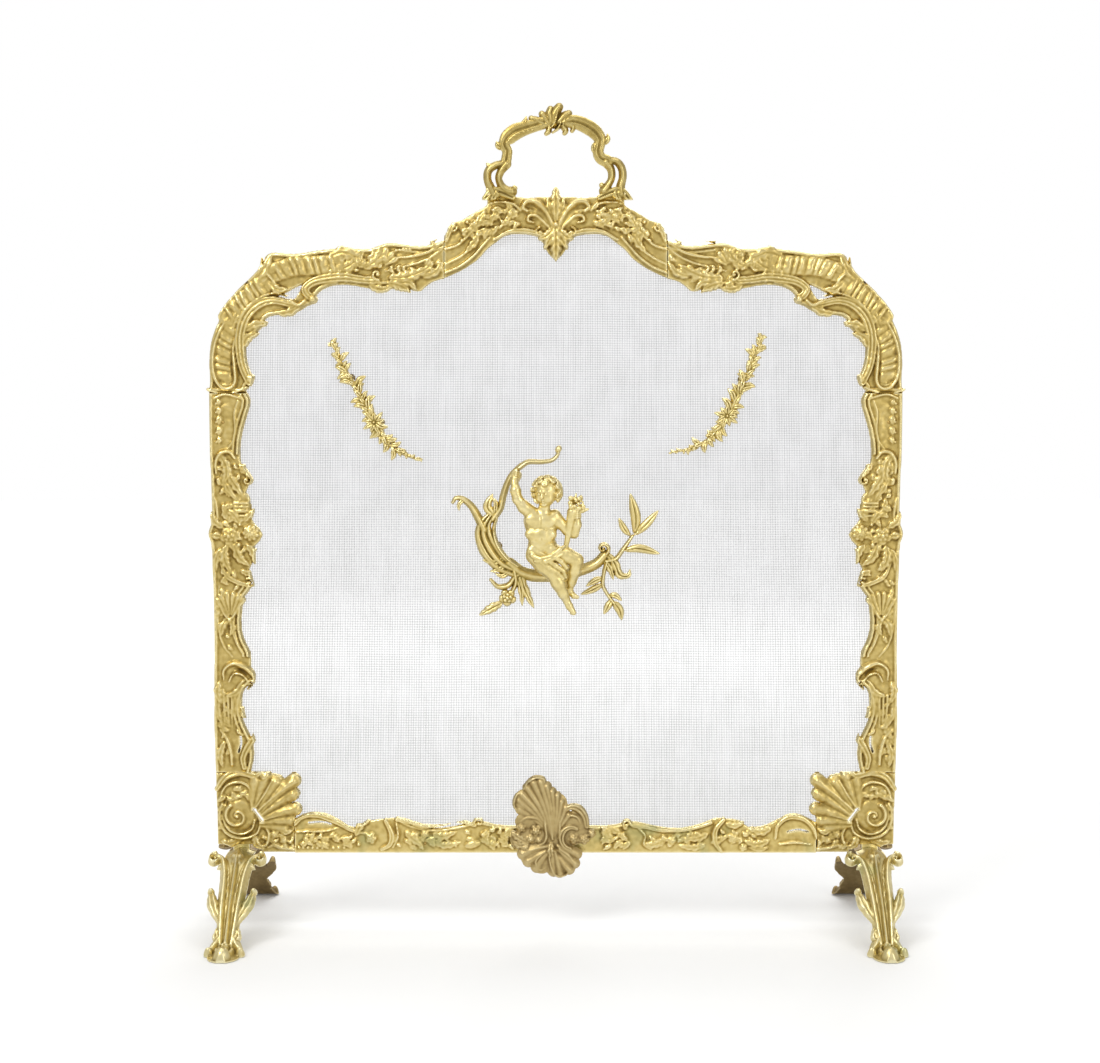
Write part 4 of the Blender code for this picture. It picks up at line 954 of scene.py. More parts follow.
def bottom_rail():
    """Low C-scrolls, leaf curls and flowers that meet behind the palmette. Its two halves differ."""
    r = Casting("bottom_rail", 1, [("x", JOINT_RAIL, -1), ("x", -JOINT_RAIL, 1)])
    r.section(2.4, 1.9)
    r.lip(r.outer, 1.8, 1.4, 2.0)
    r.lip(r.inner, 1.8, 1.3, 1.8, (np.abs(r.x) < 150))
    # Left half.
    r.ridge([(-254, 98), (-243, 107), (-228, 108), (-212, 102), (-196, 93), (-182, 90)], 3.0, 4.8, "twin",
            (0.8, 1, 0.3))
    r.ridge([(-250, 92), (-236, 93), (-222, 93), (-209, 96)], 1.7, 4.2, taper=(0.7, 1, 0.3))
    r.foliage([(-250, 84), (-226, 84), (-196, 83)], 5, 7, 4.4, 26, 41)
    r.foliage([(-168, 88), (-140, 84), (-110, 85), (-84, 86)], 7, 7, 3.6, 30, 42)
    r.beads([(-252, 77), (-230, 76.5), (-204, 76.5)], 1.2, 4.4, 3.4)
    r.leaf([(-193, 88), (-188, 98), (-179, 103)], 4.4, 4.6, 3)
    r.rosette((-178, 86), 6.0, 5.2, 5)
    r.bead((-190, 80), 2.0, 4.2)
    r.ridge([(-168, 75), (-160, 80), (-158, 90), (-164, 103)], 3.2, 5.4, "twin", (0.5, 1, 0.6))
    r.ridge([(-157, 77), (-152, 88), (-154, 101)], 2.0, 4.4, taper=(0.5, 1, 0.5))
    r.ridge([(-153, 104), (-140, 101), (-127, 97), (-110, 99), (-94, 102), (-78, 98)], 2.4, 4.8, "twin",
            (0.9, 0.8, 0.7))
    r.leaf([(-145, 92), (-138, 86), (-128, 78)], 4.6, 4.2, 4)
    r.rosette((-126, 90), 4.8, 4.8, 5, 0.4)
    r.leaf([(-119, 90), (-108, 88), (-96, 92)], 4.4, 4.0, 4)
    r.leaf([(-117, 81), (-105, 79), (-92, 82)], 3.8, 3.8, 4)
    r.bead((-80, 80), 4.0, 4.6, 2.0, 14)
    r.volute((-74, 101), 4.6, 1.1, 180, -1, 1.8, 4.8)
    r.foliage([(-76, 88), (-60, 86), (-44, 88)], 8, 8.5, 4.4, 24, 43)
    # Right half.
    r.ridge([(212, 86), (214, 98), (224, 106), (238, 105), (248, 96), (252, 86)], 2.8, 5.0, "twin",
            (0.5, 1, 0.6))
    r.ridge([(216, 80), (230, 82), (246, 80)], 2.2, 4.4, taper=(0.6, 1, 0.6))
    r.leaf([(208, 96), (198, 92), (186, 95)], 4.6, 4.4, 4)
    r.leaf([(206, 84), (194, 80), (182, 83)], 4.6, 4.2, 4)
    r.leaf([(205, 77), (196, 75), (186, 77)], 2.6, 3.6, 0)
    r.rosette((171, 86), 5.6, 5.2, 5)
    r.rosette((181, 77), 4.2, 4.6, 5, 0.6)
    r.ridge([(160, 73), (154, 82), (154, 94), (162, 104)], 3.2, 5.4, "twin", (0.5, 1, 0.6))
    r.leaf([(164, 100), (172, 98), (182, 101)], 3.6, 4.2, 3)
    r.ridge([(150, 101), (138, 97), (122, 93.5), (104, 93), (88, 96), (74, 98)], 2.2, 4.6, "twin",
            (0.8, 0.8, 0.8))
    r.leaf([(147, 90), (136, 86), (124, 85)], 4.4, 4.0, 4)
    r.leaf([(144, 79), (132, 77), (118, 79)], 3.8, 3.8, 4)
    r.rosette((112, 84), 4.6, 4.8, 5, 0.2)
    r.leaf([(104, 84), (95, 80), (84, 80)], 4.4, 4.0, 4)
    r.ridge([(78, 97), (86, 89), (85, 80), (92, 75)], 1.8, 4.4, taper=(0.5, 1, 0.5))
    r.volute((68, 99), 4.6, 1.1, 0, 1, 1.8, 4.8)
    r.foliage([(72, 88), (58, 86), (42, 88)], 8, 8.5, 4.4, 24, 44)
    r.foliage([(206, 86), (180, 86), (152, 86)], 6, 7, 3.6, 18, 45)
    r.foliage([(146, 84), (120, 84), (96, 84)], 6, 7, 3.4, 18, 46)
    r.pierce([(-238, 100.5), (-227, 101.5), (-217, 99.5)], 1.1)
    r.pierce([(224, 92), (234, 94), (243, 92)], 1.0)
    return r.cast(RAIL_BRASS, edge_radius=2.6)


def crest():
    """The crest: a pendant acanthus under a pair of scrolls, and a spray of leaves and flowers each side."""
    r = Casting("crest_rail", 1, [("x", JOINT_CREST, -1), ("x", -JOINT_CREST, 1)])
    r.section(3.0, 2.4, 0.6, 0.5, 0.2)
    for side in (-1, 1):
        m = mirror_to(side)
        r.ridge(m([(104, 648), (92, 652), (82, 661), (72, 673), (63, 681)]), 2.0, 3.8, taper=(0.8, 1, 0.4))
        r.ridge(m([(104, 626), (90, 632), (78, 641), (69, 651), (62, 659)]), 2.2, 4.2, taper=(0.8, 1, 0.5))
        r.ridge(m([(104, 634), (90, 641), (78, 651), (68, 664)]), 1.8, 3.0, taper=(0.6, 1, 0.3))
        r.ridge(m([(103, 656), (100, 665), (96, 671)]), 3.2, 4.8, "twin", (0.5, 1, 0.8))
        r.volute(m([(97, 668)])[0], 4.2, 1.0, 90 + 90 * side, side, 1.6, 4.8)
        for x, z, size in ((86, 662, 2.8), (81, 667, 2.5), (88, 656, 2.3), (76, 672, 2.2), (83, 673, 1.9)):
            r.bead(m([(x, z)])[0], size, 5.0)
        r.leaf(m([(78, 664), (73, 673), (66, 684)]), 4.6, 4.6, 4)
        r.leaf(m([(84, 646), (76, 655), (72, 666)]), 4.2, 4.4, 4)
        r.foliage(m([(32, 678), (48, 678), (64, 673), (78, 661)]), 8.5, 7.5, 4.6, 52, 51 + side)
        r.rosette(m([(56, 679)])[0], 4.8, 5.6, 5, 0.4)
        r.rosette(m([(43, 681)])[0], 3.8, 5.2, 5)
        r.ridge(m([(3, 668), (12, 676), (24, 684)]), 9, 3.0, fall=0.8)
        r.ridge(m([(2, 667), (5, 675), (11, 685), (19, 692), (27, 692.5), (31, 687), (27, 683.5)]), 4.2, 6.4,
                "round", (0.6, 1, 0.6))
        r.ridge(m([(4, 666), (10, 672), (18, 679), (25, 679), (26, 674.5), (21, 673)]), 2.8, 5.8, "round",
                (0.5, 1, 0.6))
        r.ridge(m([(33, 684), (40, 690), (52, 692), (61, 691)]), 1.8, 4.2, taper=(0.8, 1, 0.4))
        r.ridge(m([(0, 661), (14, 662), (28, 665), (44, 664), (58, 657)]), 3.0, 5.2, "twin", (0.6, 1, 0.4))
        r.leaf(m([(1, 676), (6, 687), (8, 697)]), 3.4, 4.6, 4)
        # Pendant acanthus.
        r.leaf(m([(2, 668), (9, 660), (17, 658)]), 5.2, 6.6, 4)
        r.leaf(m([(2, 664), (7, 655), (11, 648)]), 4.6, 6.6, 4)
        r.volute(m([(15, 664)])[0], 4.6, 1.1, 90, -side, 1.6, 6.2)
    # Between the handle's feet the crest is level, and only its bud stands higher.
    level = np.where(np.abs(r.x) < 34, 696.8 - r.z, 9)
    r.edge, r.rim = np.minimum(r.edge, level), np.minimum(r.rim, level)
    r.leaf([(0, 672), (0, 691), (0, 706.5)], 6.0, 6.0, 5, tip=1.2)
    r.leaf([(0, 672), (0, 655), (0, 637.5)], 6.8, 7.6, 5, tip=0.9)
    r.bead((0, 671), 3.2, 8.4)
    return r.cast(GILT)


def frame_castings():
    for side in SIDES:
        shoulder(side)
        upright(side)
        corner(side)
    bottom_rail()
    crest()


# ---------------------------------------------------------------- free castings

def free_relief(low, high, step=GRID):
    """A relief whose outline is the reach of its own stamps."""
    made = Relief(low, high, step)
    made.ground[:] = 0.0
    made.top[:] = 0.0
    return made


def palmette():
    """A ribbed shell between two volutes, over an acanthus that hangs below the rail."""
    r = free_relief((-46, 44), (38, 150), 0.6)
    r.ridge([(-34, 86), (-20, 88), (0, 88), (24, 92)], 12, 3.0, fall=0.8, taper=(0.8, 1, 0.8))
    for centre, radius, stretch, turn, lift in (
            ((-14, 120), 15, 1.65, 112, 3.4), ((1, 116), 10, 1.5, 75, 3.2), ((-21, 70), 10, 1.3, 20, 4.4),
            ((-2, 64), 9, 1.5, 85, 4.8), ((10, 66), 10, 1.3, 120, 4.2), ((22, 104), 9, 1.4, 110, 3.2),
            ((-26, 106), 9, 1.5, 20, 3.2), ((15, 98), 12, 1.2, 20, 3.0), ((-12, 64), 10, 1.2, 60, 4.2),
            ((-30, 122), 9, 1.4, 110, 3.4)):
        r.bead(centre, radius, lift, stretch, turn)
    # The shell: rounded ribs that widen from a smooth trough.
    for x, z, width, lift in (
            (-34, 115, 4.0, 3.8), (-35, 124, 3.8, 4.2), (-32, 130, 4.0, 4.8), (-27, 136.5, 4.4, 5.6),
            (-21, 141.5, 4.8, 6.4), (-14.5, 142.5, 4.8, 6.8), (-8.5, 138, 4.2, 6.4), (-3.5, 133, 3.8, 6.0),
            (1.5, 129, 3.6, 5.6), (5.5, 123, 3.6, 5.2), (9.5, 117, 3.6, 4.8), (12.5, 110, 3.4, 4.4)):
        middle = (-3 + (x + 3) * 0.46 + 1.5, 90 + (z - 90) * 0.5)
        r.ridge([(-3, 87), middle, (x, z)], 1.3 * width, lift, "round", (0.4, 0.8, 0.9), fall=0.7)
    r.ridge([(-31, 135), (-27, 142), (-20, 146.5), (-12, 146), (-10, 141)], 2.2, 6.4, taper=(0.5, 1, 0.6))
    r.ridge([(-37, 113), (-40, 120), (-38, 129), (-33, 133)], 2.0, 4.6, taper=(0.4, 1, 0.5))
    r.ridge([(-5, 118), (-4, 104), (-3.5, 92)], 5.6, 5.4, "cove", (0.25, 0.8, 0.9), fall=0.7)
    r.ridge([(-11, 113), (-10, 100), (-8, 88)], 2.6, 6.6, taper=(0.4, 1, 0.7))
    r.ridge([(3, 110), (4, 99), (2.5, 88)], 2.6, 6.2, taper=(0.4, 1, 0.7))
    # Right C-scroll, ring volutes and small flowers.
    r.ridge([(7, 113), (14, 118), (22, 116.5), (28, 109), (30, 99)], 4.0, 6.2, "twin", (0.5, 1, 0.6))
    r.ridge([(9, 106), (15, 110), (21, 108), (24, 102)], 2.6, 5.6, taper=(0.5, 1, 0.5))
    r.ridge([(15 + 9.6 * math.cos(a), 88 + 10.5 * math.sin(a)) for a in np.linspace(1.0, 4.6, 10)], 3.4, 6.6,
            "twin", (0.5, 1, 0.6), fall=0.7)
    r.rosette((17, 88), 6.6, 5.8, 5, 0.4, 0.36)
    r.ridge([(-12, 100), (-9, 92), (-11, 84), (-18, 80)], 2.8, 6.2, taper=(0.5, 1, 0.5))
    r.rosette((-19, 95), 6.4, 6.4, 5, 0.4, 0.36)
    r.rosette((-24, 87), 5.6, 6.0, 5, 1.0, 0.36)
    r.rosette((-16, 86), 4.8, 5.6, 5, 0.2, 0.36)
    r.rosette((27, 87), 6.0, 5.8, 5, 0.2)
    r.rosette((34.5, 92), 4.4, 5.0, 5, 0.2)
    r.ridge([(-34, 104), (-27, 108), (-18, 107), (-12, 101)], 3.0, 5.4, taper=(0.5, 1, 0.5))
    r.rosette((-33, 98), 5.6, 5.4, 5, 0.8)
    r.leaf([(-28, 84), (-35, 88), (-43, 94)], 4.6, 5.2, 4)
    r.leaf([(-26, 82), (-34, 81), (-41, 84)], 4.4, 5.0, 4)
    r.rosette((-29, 79), 5.0, 5.8, 5, 0.3)
    # The hanging acanthus, its lobes rounded and turned up at the ends.
    for points, width, lift in (
            ([(-8, 80), (-21, 77), (-31, 72)], 5.6, 5.4), ([(-8, 76), (-18, 70), (-26, 65)], 5.6, 5.8),
            ([(-6, 76), (-14, 66), (-18, 59.5)], 5.6, 6.2), ([(2, 80), (12, 76), (20, 72)], 5.0, 5.0),
            ([(3, 76), (11, 69), (18, 63)], 5.0, 5.8), ([(1, 72), (8, 62), (13, 57)], 5.0, 6.0),
            ([(-3, 80), (-3, 66), (-2, 55)], 5.0, 6.6), ([(-1, 76), (2, 64), (4, 54)], 5.0, 7.0)):
        r.ridge(points, 1.25 * width, lift, "round", (0.45, 0.85, 0.9), fall=0.7)
    r.ridge([(-5, 79), (-6, 66), (0, 52), (9, 51.5), (14, 57)], 1.8, 7.8, taper=(0.8, 1, 0.5))
    r.ridge([(-8, 78), (-19, 66), (-15, 57), (-10, 59)], 1.8, 7.0, taper=(0.6, 1, 0.5))
    r.ridge([(3, 78), (13, 71), (20, 62)], 1.6, 6.6, taper=(0.8, 1, 0.4))
    r.ridge([(-9, 80), (-21, 77.5), (-34, 71)], 1.6, 6.4, taper=(0.8, 1, 0.4))
    r.leaf([(-4, 84), (-5, 76), (-3, 68)], 4.4, 8.2, 3)
    r.edge = np.minimum(r.edge, r.z - 48.4)
    r.ease(3)
    return cast_relief("bottom_palmette_casting", r, DULL, "bottom_palmette", foot=9.3, rim=0.6,
                       wall=2.4, bosses=[(*screw_places("palmette")[0], 4.0)], gain=0.5)


def spray(side):
    """A spray of myrtle-like leaves with one star flower, cast in one piece."""
    node = f"{SIDES[side]}_spray"
    low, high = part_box(node)
    r = free_relief((low.x / MM - 6, low.z / MM - 5), (high.x / MM + 6, high.z / MM + 5), 0.5)
    if side < 0:
        stem = [(-210, 561), (-206, 549), (-199, 536), (-191, 523), (-182, 507), (-172, 487), (-163, 471),
                (-152, 460), (-138, 453), (-127, 451)]
        flower, tilt = (-172, 486), 0.2
    else:
        stem = [(193, 567), (191, 555), (186, 543), (180, 530), (174, 516), (163, 493), (152, 478),
                (140, 467), (126, 461), (108, 457)]
        flower, tilt = (162, 492), 0.8
    path = smooth_path(stem, 0.5)
    r.ridge(stem, 1.5, 3.2, taper=(0.7, 1, 1.2, 1, 0.6))
    rng = np.random.default_rng(7 + side)
    middle = int(np.argmin(np.hypot(*(path - flower).T)))
    count = 72
    for index in range(count):
        share = (index + 0.3) / count
        at = int(share * (len(path) - 3)) + 1
        along = path[at + 1] - path[at - 1]
        heading = math.atan2(along[1], along[0]) + (math.pi if at < middle else 0)
        out = heading + (0.15 + 1.15 * rng.random()) * (1 if rng.random() > 0.5 else -1)
        swell = math.sin(math.pi * min(share * 0.9 + 0.08, 1)) ** 0.6
        long = (4.5 + 6.5 * swell) * (0.7 + 0.6 * rng.random()) * (0.6 if share > 0.82 else 1)
        end = path[at] + long * toward(out)
        bend = (path[at] + end) / 2 + 0.14 * long * toward(heading)
        r.leaf([path[at], bend, end], long * 0.20 + 0.5, 3.0 + 3.6 * rng.random(), 0, 0, 0, tip=0.85)
    for share, size in ((0.12, 2.6), (0.27, 3.6), (0.40, 3.4), (0.72, 3.4)):
        spot = path[int(share * len(path))] + rng.uniform(-2.5, 2.5, 2)
        r.rosette(spot, size, 5.6, 5, rng.random(), 0.36, 1)
    for k in range(9):
        turn = tilt + 2 * math.pi * k / 9
        long = 12.5 if k % 2 else 10.0
        end = np.add(flower, (long * math.cos(turn), long * math.sin(turn)))
        r.leaf([flower, (np.add(flower, end)) / 2, end], 2.7, 5.4, 0, 0, 0)
    r.rosette(flower, 5.0, 6.4, 5, tilt, 0.36, 1)
    r.bead(path[0], 2.4, 4.4, 1.5, 100)
    r.ease(1)
    screws = [(x, z, 3.2) for x, z in screw_places(node)]
    return cast_relief(f"{node}_casting", r, SPRAY_BRASS, node, foot=1.2, rim=0.5,
                       bosses=screws, gain=0.7)


def branch():
    """The scrolling branch: reeded stem, log seat, leaves, buds and a flower."""
    r = free_relief((-101, 294), (104, 468), 0.5)
    r.ridge([(2.5, 461), (1.5, 455), (-4, 450), (-14, 448.5), (-26, 448.5), (-35, 443)], 2.1, 4.2,
            taper=(0.8, 1, 1.2, 1.4))
    r.bead((2.5, 460.5), 3.0, 4.4, 1.3, 60)
    r.ridge([(-33, 445), (-41, 437), (-46, 428), (-50, 416), (-53, 404), (-60, 394)], 3.4, 4.6, "round",
            (0.8, 1, 1))
    r.ridge([(-38, 441), (-34, 436), (-36, 430)], 2.0, 5.0, taper=(0.7, 1, 0.6))
    r.leaf([(-57, 396), (-65, 406), (-60, 418)], 4.4, 4.6, 0, 0, 0)
    r.leaf([(-58, 398), (-57, 409), (-61, 415)], 2.6, 5.0, 0, 0, 0)
    r.ridge([(-98, 410), (-95, 414), (-88, 413), (-80, 406), (-74, 396), (-68, 384)], 4.0, 4.8, "round",
            (0.4, 0.8, 1, 1.2))
    r.leaf([(-86, 414), (-92, 408), (-92, 402)], 2.4, 4.0, 0, 0, 0)
    r.ridge([(-62, 398), (-68, 388), (-68, 377), (-62, 364), (-52, 352), (-38, 345)], 10.5, 5.2, "reed",
            (0.35, 0.8, 1, 0.9, 0.7), fall=0.6)
    r.ridge([(-56, 396), (-59, 384), (-56, 370), (-47, 357), (-36, 349)], 2.6, 6.2, taper=(0.6, 1, 0.8))
    r.ridge([(-74, 388), (-73, 376), (-65, 360), (-53, 347)], 2.2, 5.0, taper=(0.6, 1, 0.6))
    # The log that the figure sits on.
    r.ridge([(-44, 352), (-32, 343), (-16, 339.5), (4, 340), (22, 344.5), (38, 351), (47, 360)], 6.0, 6.0,
            "round", (0.9, 1, 0.9, 0.9, 0.8))
    r.volute((45, 366), 6.0, 1.2, 300, 1, 2.4, 6.0)
    r.leaf([(48, 362), (56, 352), (61, 341), (69, 340), (71, 346)], 4.6, 5.0, 4, 0.1, 0.2)
    r.leaf([(46, 356), (52, 346), (55, 336)], 3.6, 4.6, 3)
    r.ridge([(48, 354), (57, 356), (64, 365), (73, 378)], 2.3, 4.4, taper=(1.1, 1, 0.7))
    for points, width in (
            ([(75, 380), (76, 396), (71, 418)], 5.0), ([(75, 379), (86, 389), (97.5, 402)], 4.2),
            ([(71, 378), (65, 385), (60, 395)], 3.4), ([(65, 364), (80, 366), (99, 361)], 4.2)):
        r.leaf(points, width, 4.4, 0, 0, 0, tip=0.9)
        r.ridge([points[0], points[1]], 0.8, 4.6, taper=(1, 0.4))
    r.ridge([(49, 354), (46, 343), (45, 331), (50, 321), (56, 313)], 2.0, 4.4, taper=(1.1, 1, 0.8))
    for points, width in (
            ([(45, 338), (37, 335), (29, 330)], 3.2), ([(45, 332), (36, 327), (24, 322)], 3.4),
            ([(51, 321), (57, 321), (63, 316)], 3.0), ([(54, 317), (50, 311), (46, 303)], 3.6),
            ([(55, 315), (61, 307), (63, 297.5)], 4.2)):
        r.leaf(points, width, 4.4, 0, 0, 0)
    # Flower and leaves on the left.
    r.ridge([(-40, 348), (-38, 334), (-43, 322)], 2.6, 4.6, taper=(1.2, 1, 0.8))
    r.leaf([(-51, 314), (-61, 309), (-73, 302)], 4.8, 4.8, 4, 0.1, 0.2)
    r.leaf([(-34, 342), (-29, 326), (-21, 309)], 4.4, 4.8, 3)
    r.leaf([(-37, 340), (-33, 326), (-32, 311)], 3.4, 4.6, 3)
    r.ridge([(-62, 336), (-55, 329.5), (-45, 331), (-38, 341)], 3.2, 4.8, "round", (0.5, 1, 0.7))
    r.leaf([(-47, 358), (-58, 353), (-70, 355)], 3.4, 4.4, 3)
    r.leaf([(-45, 352), (-54, 346), (-63, 344)], 3.0, 4.4, 3)
    r.leaf([(-43, 347), (-50, 340), (-58, 342)], 2.8, 4.2, 0)
    r.rosette((-46, 319), 8.6, 6.4, 5, 0.4, 0.34)
    r.leaf([(-24, 376), (-38, 374), (-50, 381), (-51, 390), (-42, 388)], 5.0, 5.0, 4, 0.16, 0.2)
    r.ease(1)
    screws = [(x, z, 3.4) for x, z in screw_places("branch")]
    return cast_relief("cherub_branch_casting", r, SPRAY_BRASS, "cherub_branch", foot=1.0,
                       rim=0.5, bosses=screws, gain=0.8)


class Wax:
    """A soft solid in mm, built up from limbs and lumps that run into each other, and then cast."""

    def __init__(self, low, high, step=0.5):
        self.step = step
        self.axes = [np.arange(a, b, step, np.float32) for a, b in zip(low, high)]
        self.field = np.full([len(axis) for axis in self.axes], 9.0, np.float32)

    def near(self, low, high):
        """A window of the field, and its points' coordinates."""
        ends = [np.searchsorted(axis, (a, b)) for axis, a, b in zip(self.axes, low, high)]
        win = tuple(slice(*end) for end in ends)
        return win, np.meshgrid(*(axis[cut] for axis, cut in zip(self.axes, win)), indexing="ij", sparse=True)

    def join(self, win, shape, soft, cut=False):
        here = self.field[win]
        if cut:
            share = np.clip(0.5 - 0.5 * (here + shape) / soft, 0, 1)
            self.field[win] = here * (1 - share) - shape * share + soft * share * (1 - share)
            return
        share = np.clip(0.5 + 0.5 * (here - shape) / soft, 0, 1)
        self.field[win] = here * (1 - share) + shape * share - soft * share * (1 - share)

    def limb(self, points, radii, soft=1.6, cut=False):
        """Rounded bones through the points, each end with its own radius."""
        for p, q, r, t in zip(points, points[1:], radii, radii[1:]):
            p, q = np.array(p, float), np.array(q, float)
            room = max(r, t) + soft + 2
            win, at = self.near(np.minimum(p, q) - room, np.maximum(p, q) + room)
            d = q - p
            along = sum((at[k] - p[k]) * d[k] for k in range(3)) / max(d @ d, 1e-9)
            along = np.clip(along, 0, 1)
            far = np.sqrt(sum((at[k] - p[k] - along * d[k]) ** 2 for k in range(3)))
            self.join(win, (far - (r + (t - r) * along)).astype(np.float32), soft, cut)

    def lump(self, centre, radii, soft=1.6, frame=None, cut=False):
        """An egg shape, turned to a frame of three directions."""
        frame = np.eye(3) if frame is None else np.array(frame)
        room = max(radii) + soft + 2
        win, at = self.near(np.subtract(centre, room), np.add(centre, room))
        far = [at[k] - centre[k] for k in range(3)]
        q = np.sqrt(sum((sum(far[k] * axis[k] for k in range(3)) / r) ** 2 for axis, r in zip(frame, radii)))
        self.join(win, ((q - 1) * min(radii)).astype(np.float32), soft, cut)

    def skin(self):
        """The surface as points and quads."""
        inside = self.field < 0
        shape = inside.shape
        count = np.zeros([n - 1 for n in shape], int)
        for corner in np.ndindex(2, 2, 2):
            count += inside[tuple(slice(c, n - 1 + c) for c, n in zip(corner, shape))]
        mixed = (count > 0) & (count < 8)
        index = np.full(mixed.shape, -1)
        index[mixed] = np.arange(mixed.sum())
        cells = np.argwhere(mixed)
        total, hits = np.zeros((len(cells), 3)), np.zeros(len(cells))
        faces = []
        for axis in range(3):
            u, v = (axis + 1) % 3, (axis + 2) % 3
            for a, b in np.ndindex(2, 2):
                start = cells.copy()
                start[:, u] += a
                start[:, v] += b
                end = start.copy()
                end[:, axis] += 1
                f, g = self.field[tuple(start.T)], self.field[tuple(end.T)]
                cross = (f < 0) != (g < 0)
                point = start.astype(float)
                point[:, axis] += f / np.where(cross, f - g, 1)
                total += point * cross[:, None]
                hits += cross
            ahead = np.take(inside, range(1, shape[axis]), axis)
            behind = np.take(inside, range(shape[axis] - 1), axis)
            for way in (False, True):
                edges = np.argwhere((behind != ahead) & (behind == way))
                step_u, step_v = np.eye(3, dtype=int)[u], np.eye(3, dtype=int)[v]
                ring = [edges, edges - step_u, edges - step_u - step_v, edges - step_v]
                quads = np.stack([index[tuple(cell.T)] for cell in ring], 1)
                faces.append(quads if way else quads[:, ::-1])
        low = np.array([axis[0] for axis in self.axes])
        return low + total / hits[:, None] * self.step, np.vstack(faces)


GOLDEN_ANGLE = 2.39996  # radians, which spreads the locks evenly over the crown


def putto():
    """A seated child with one arm raised to the branch and the other round a torch of flowers."""
    wax = Wax((-46, -35, 298), (36, -0.5, 444))
    # Trunk: chest, ribs, round belly and hips.
    wax.lump((-14, -16.5, 394), (16.5, 8.0, 10.5), 4)
    wax.lump((-13.5, -16.5, 383), (14.0, 8.4, 11), 5)
    wax.lump((-12.5, -15.5, 368), (14.5, 8.6, 10), 5)
    wax.lump((-21, -22.6, 395), (7.4, 3.0, 4.8), 3)
    wax.lump((-7, -22.6, 394), (7.2, 3.0, 4.8), 3)
    wax.lump((-14, -21.4, 378.5), (10.5, 5.4, 7.6), 4)
    wax.limb([(-25, -24.4, 388), (-19, -25.8, 386.4), (-14, -26, 387.4), (-8, -25.6, 386.2),
              (-1, -24, 387.4)], (0.4, 0.6, 0.5, 0.6, 0.4), 2.2, cut=True)
    wax.limb([(-25, -24.5, 372), (-14, -27.2, 369.5), (-3, -25, 372)], (0.4, 0.6, 0.4), 2.2, cut=True)
    wax.lump((-13.5, -27.4, 377), (0.9, 1.0, 1.1), 0.8, cut=True)
    wax.limb([(-14, -25.4, 397), (-14, -26.2, 389)], (0.3, 0.4), 1.6, cut=True)
    for x, z in ((-24.5, 381), (-4, 381), (-23, 366), (-3, 367)):
        wax.lump((x, -21, z), (4.2, 3.6, 3.6), 3)
    # Raised arm, with a fold at the elbow and the fingers round the branch.
    wax.limb([(-22, -17, 400.5), (-30, -17, 406.5), (-36, -17, 414), (-38, -16, 422), (-39, -13, 430),
              (-38.5, -10, 435.5)], (6.8, 6.0, 4.8, 4.9, 3.3, 3.6), 2)
    for k in range(4):
        wax.limb([(-42 + 0.4 * k, -11.5, 432.5 + 2.0 * k), (-38 + 0.3 * k, -13.6, 434 + 2.0 * k),
                  (-34.8, -11.5, 434.6 + 1.6 * k)], (1.2, 1.2, 1.0), 0.5)
    # The other arm, bent up behind the torch.
    wax.limb([(-1, -17, 398), (4, -18, 392), (11, -18, 384), (17, -17.5, 381.5)], (6.4, 5.4, 4.8, 4.5), 2)
    wax.limb([(17, -17.5, 381.5), (19.5, -18.5, 390), (20, -19.5, 398)], (4.8, 4.7, 3.3), 1.4)
    for k in range(4):
        wax.limb([(16.2, -22.4, 396.5 + 2.0 * k), (20, -23.6, 397 + 2.0 * k), (23.2, -21.4, 397.4 + 2.0 * k)],
                 (1.1, 1.2, 1.0), 0.5)
    # Torch: a tapered shaft, a cup and a tight bunch above it.
    wax.limb([(9, -20, 366.5), (11.5, -21, 380), (14, -21.5, 396), (15.5, -21, 402)], (2.2, 2.9, 4.0, 5.0),
             0.8)
    wax.limb([(13, -20, 402.5), (25, -20, 403.5), (30.5, -19, 404.6)], (2.2, 2.4, 1.0), 0.8)
    rng = np.random.default_rng(11)
    for k in range(30):
        place = (19.5 + rng.uniform(-6.4, 6.4), -20 + rng.uniform(-5, 3), 409.5 + rng.uniform(-5.5, 6.4))
        wax.lump(place, rng.uniform(1.7, 2.8, 3), 0.5)
    for x, z in ((19, 419.5), (23.5, 417.5), (15.5, 416), (25.5, 412)):
        wax.limb([(x - 0.6, -20.5, z - 5), (x, -20.5, z)], (1.8, 0.7), 0.5)
    # Legs: one drawn up over the seat, the other hanging across it.
    wax.limb([(-2, -17, 362), (10, -20, 360.5), (19.5, -22, 357)], (8.8, 8.0, 6.6), 2)
    wax.limb([(19.5, -22, 356), (17.5, -20, 346), (14.5, -16, 335.5), (13, -14, 328), (14, -13.6, 325)],
             (6.2, 6.0, 4.7, 3.1, 3.3), 1.8)
    wax.limb([(13.6, -13.8, 325.5), (17, -15.8, 322.2), (20.4, -16.6, 321)], (3.0, 2.8, 1.9), 0.8)
    wax.limb([(-20, -17, 361), (-12, -21, 352), (-3, -24, 344.5)], (8.6, 8.2, 7.0), 2)
    wax.limb([(-3, -24, 344), (2.5, -23, 335), (7, -20.5, 325), (10.5, -18.5, 317.5)], (6.4, 6.9, 5.2, 3.5),
             1.8)
    wax.limb([(10.5, -18.5, 317), (13, -19, 312.5), (16.8, -19.6, 306.6)], (3.5, 3.6, 2.6), 1)
    for k in range(4):
        wax.lump((14.2 + 1.2 * k, -19.6, 305.6 + 0.9 * k), (0.9, 0.9, 0.9), 0.4)
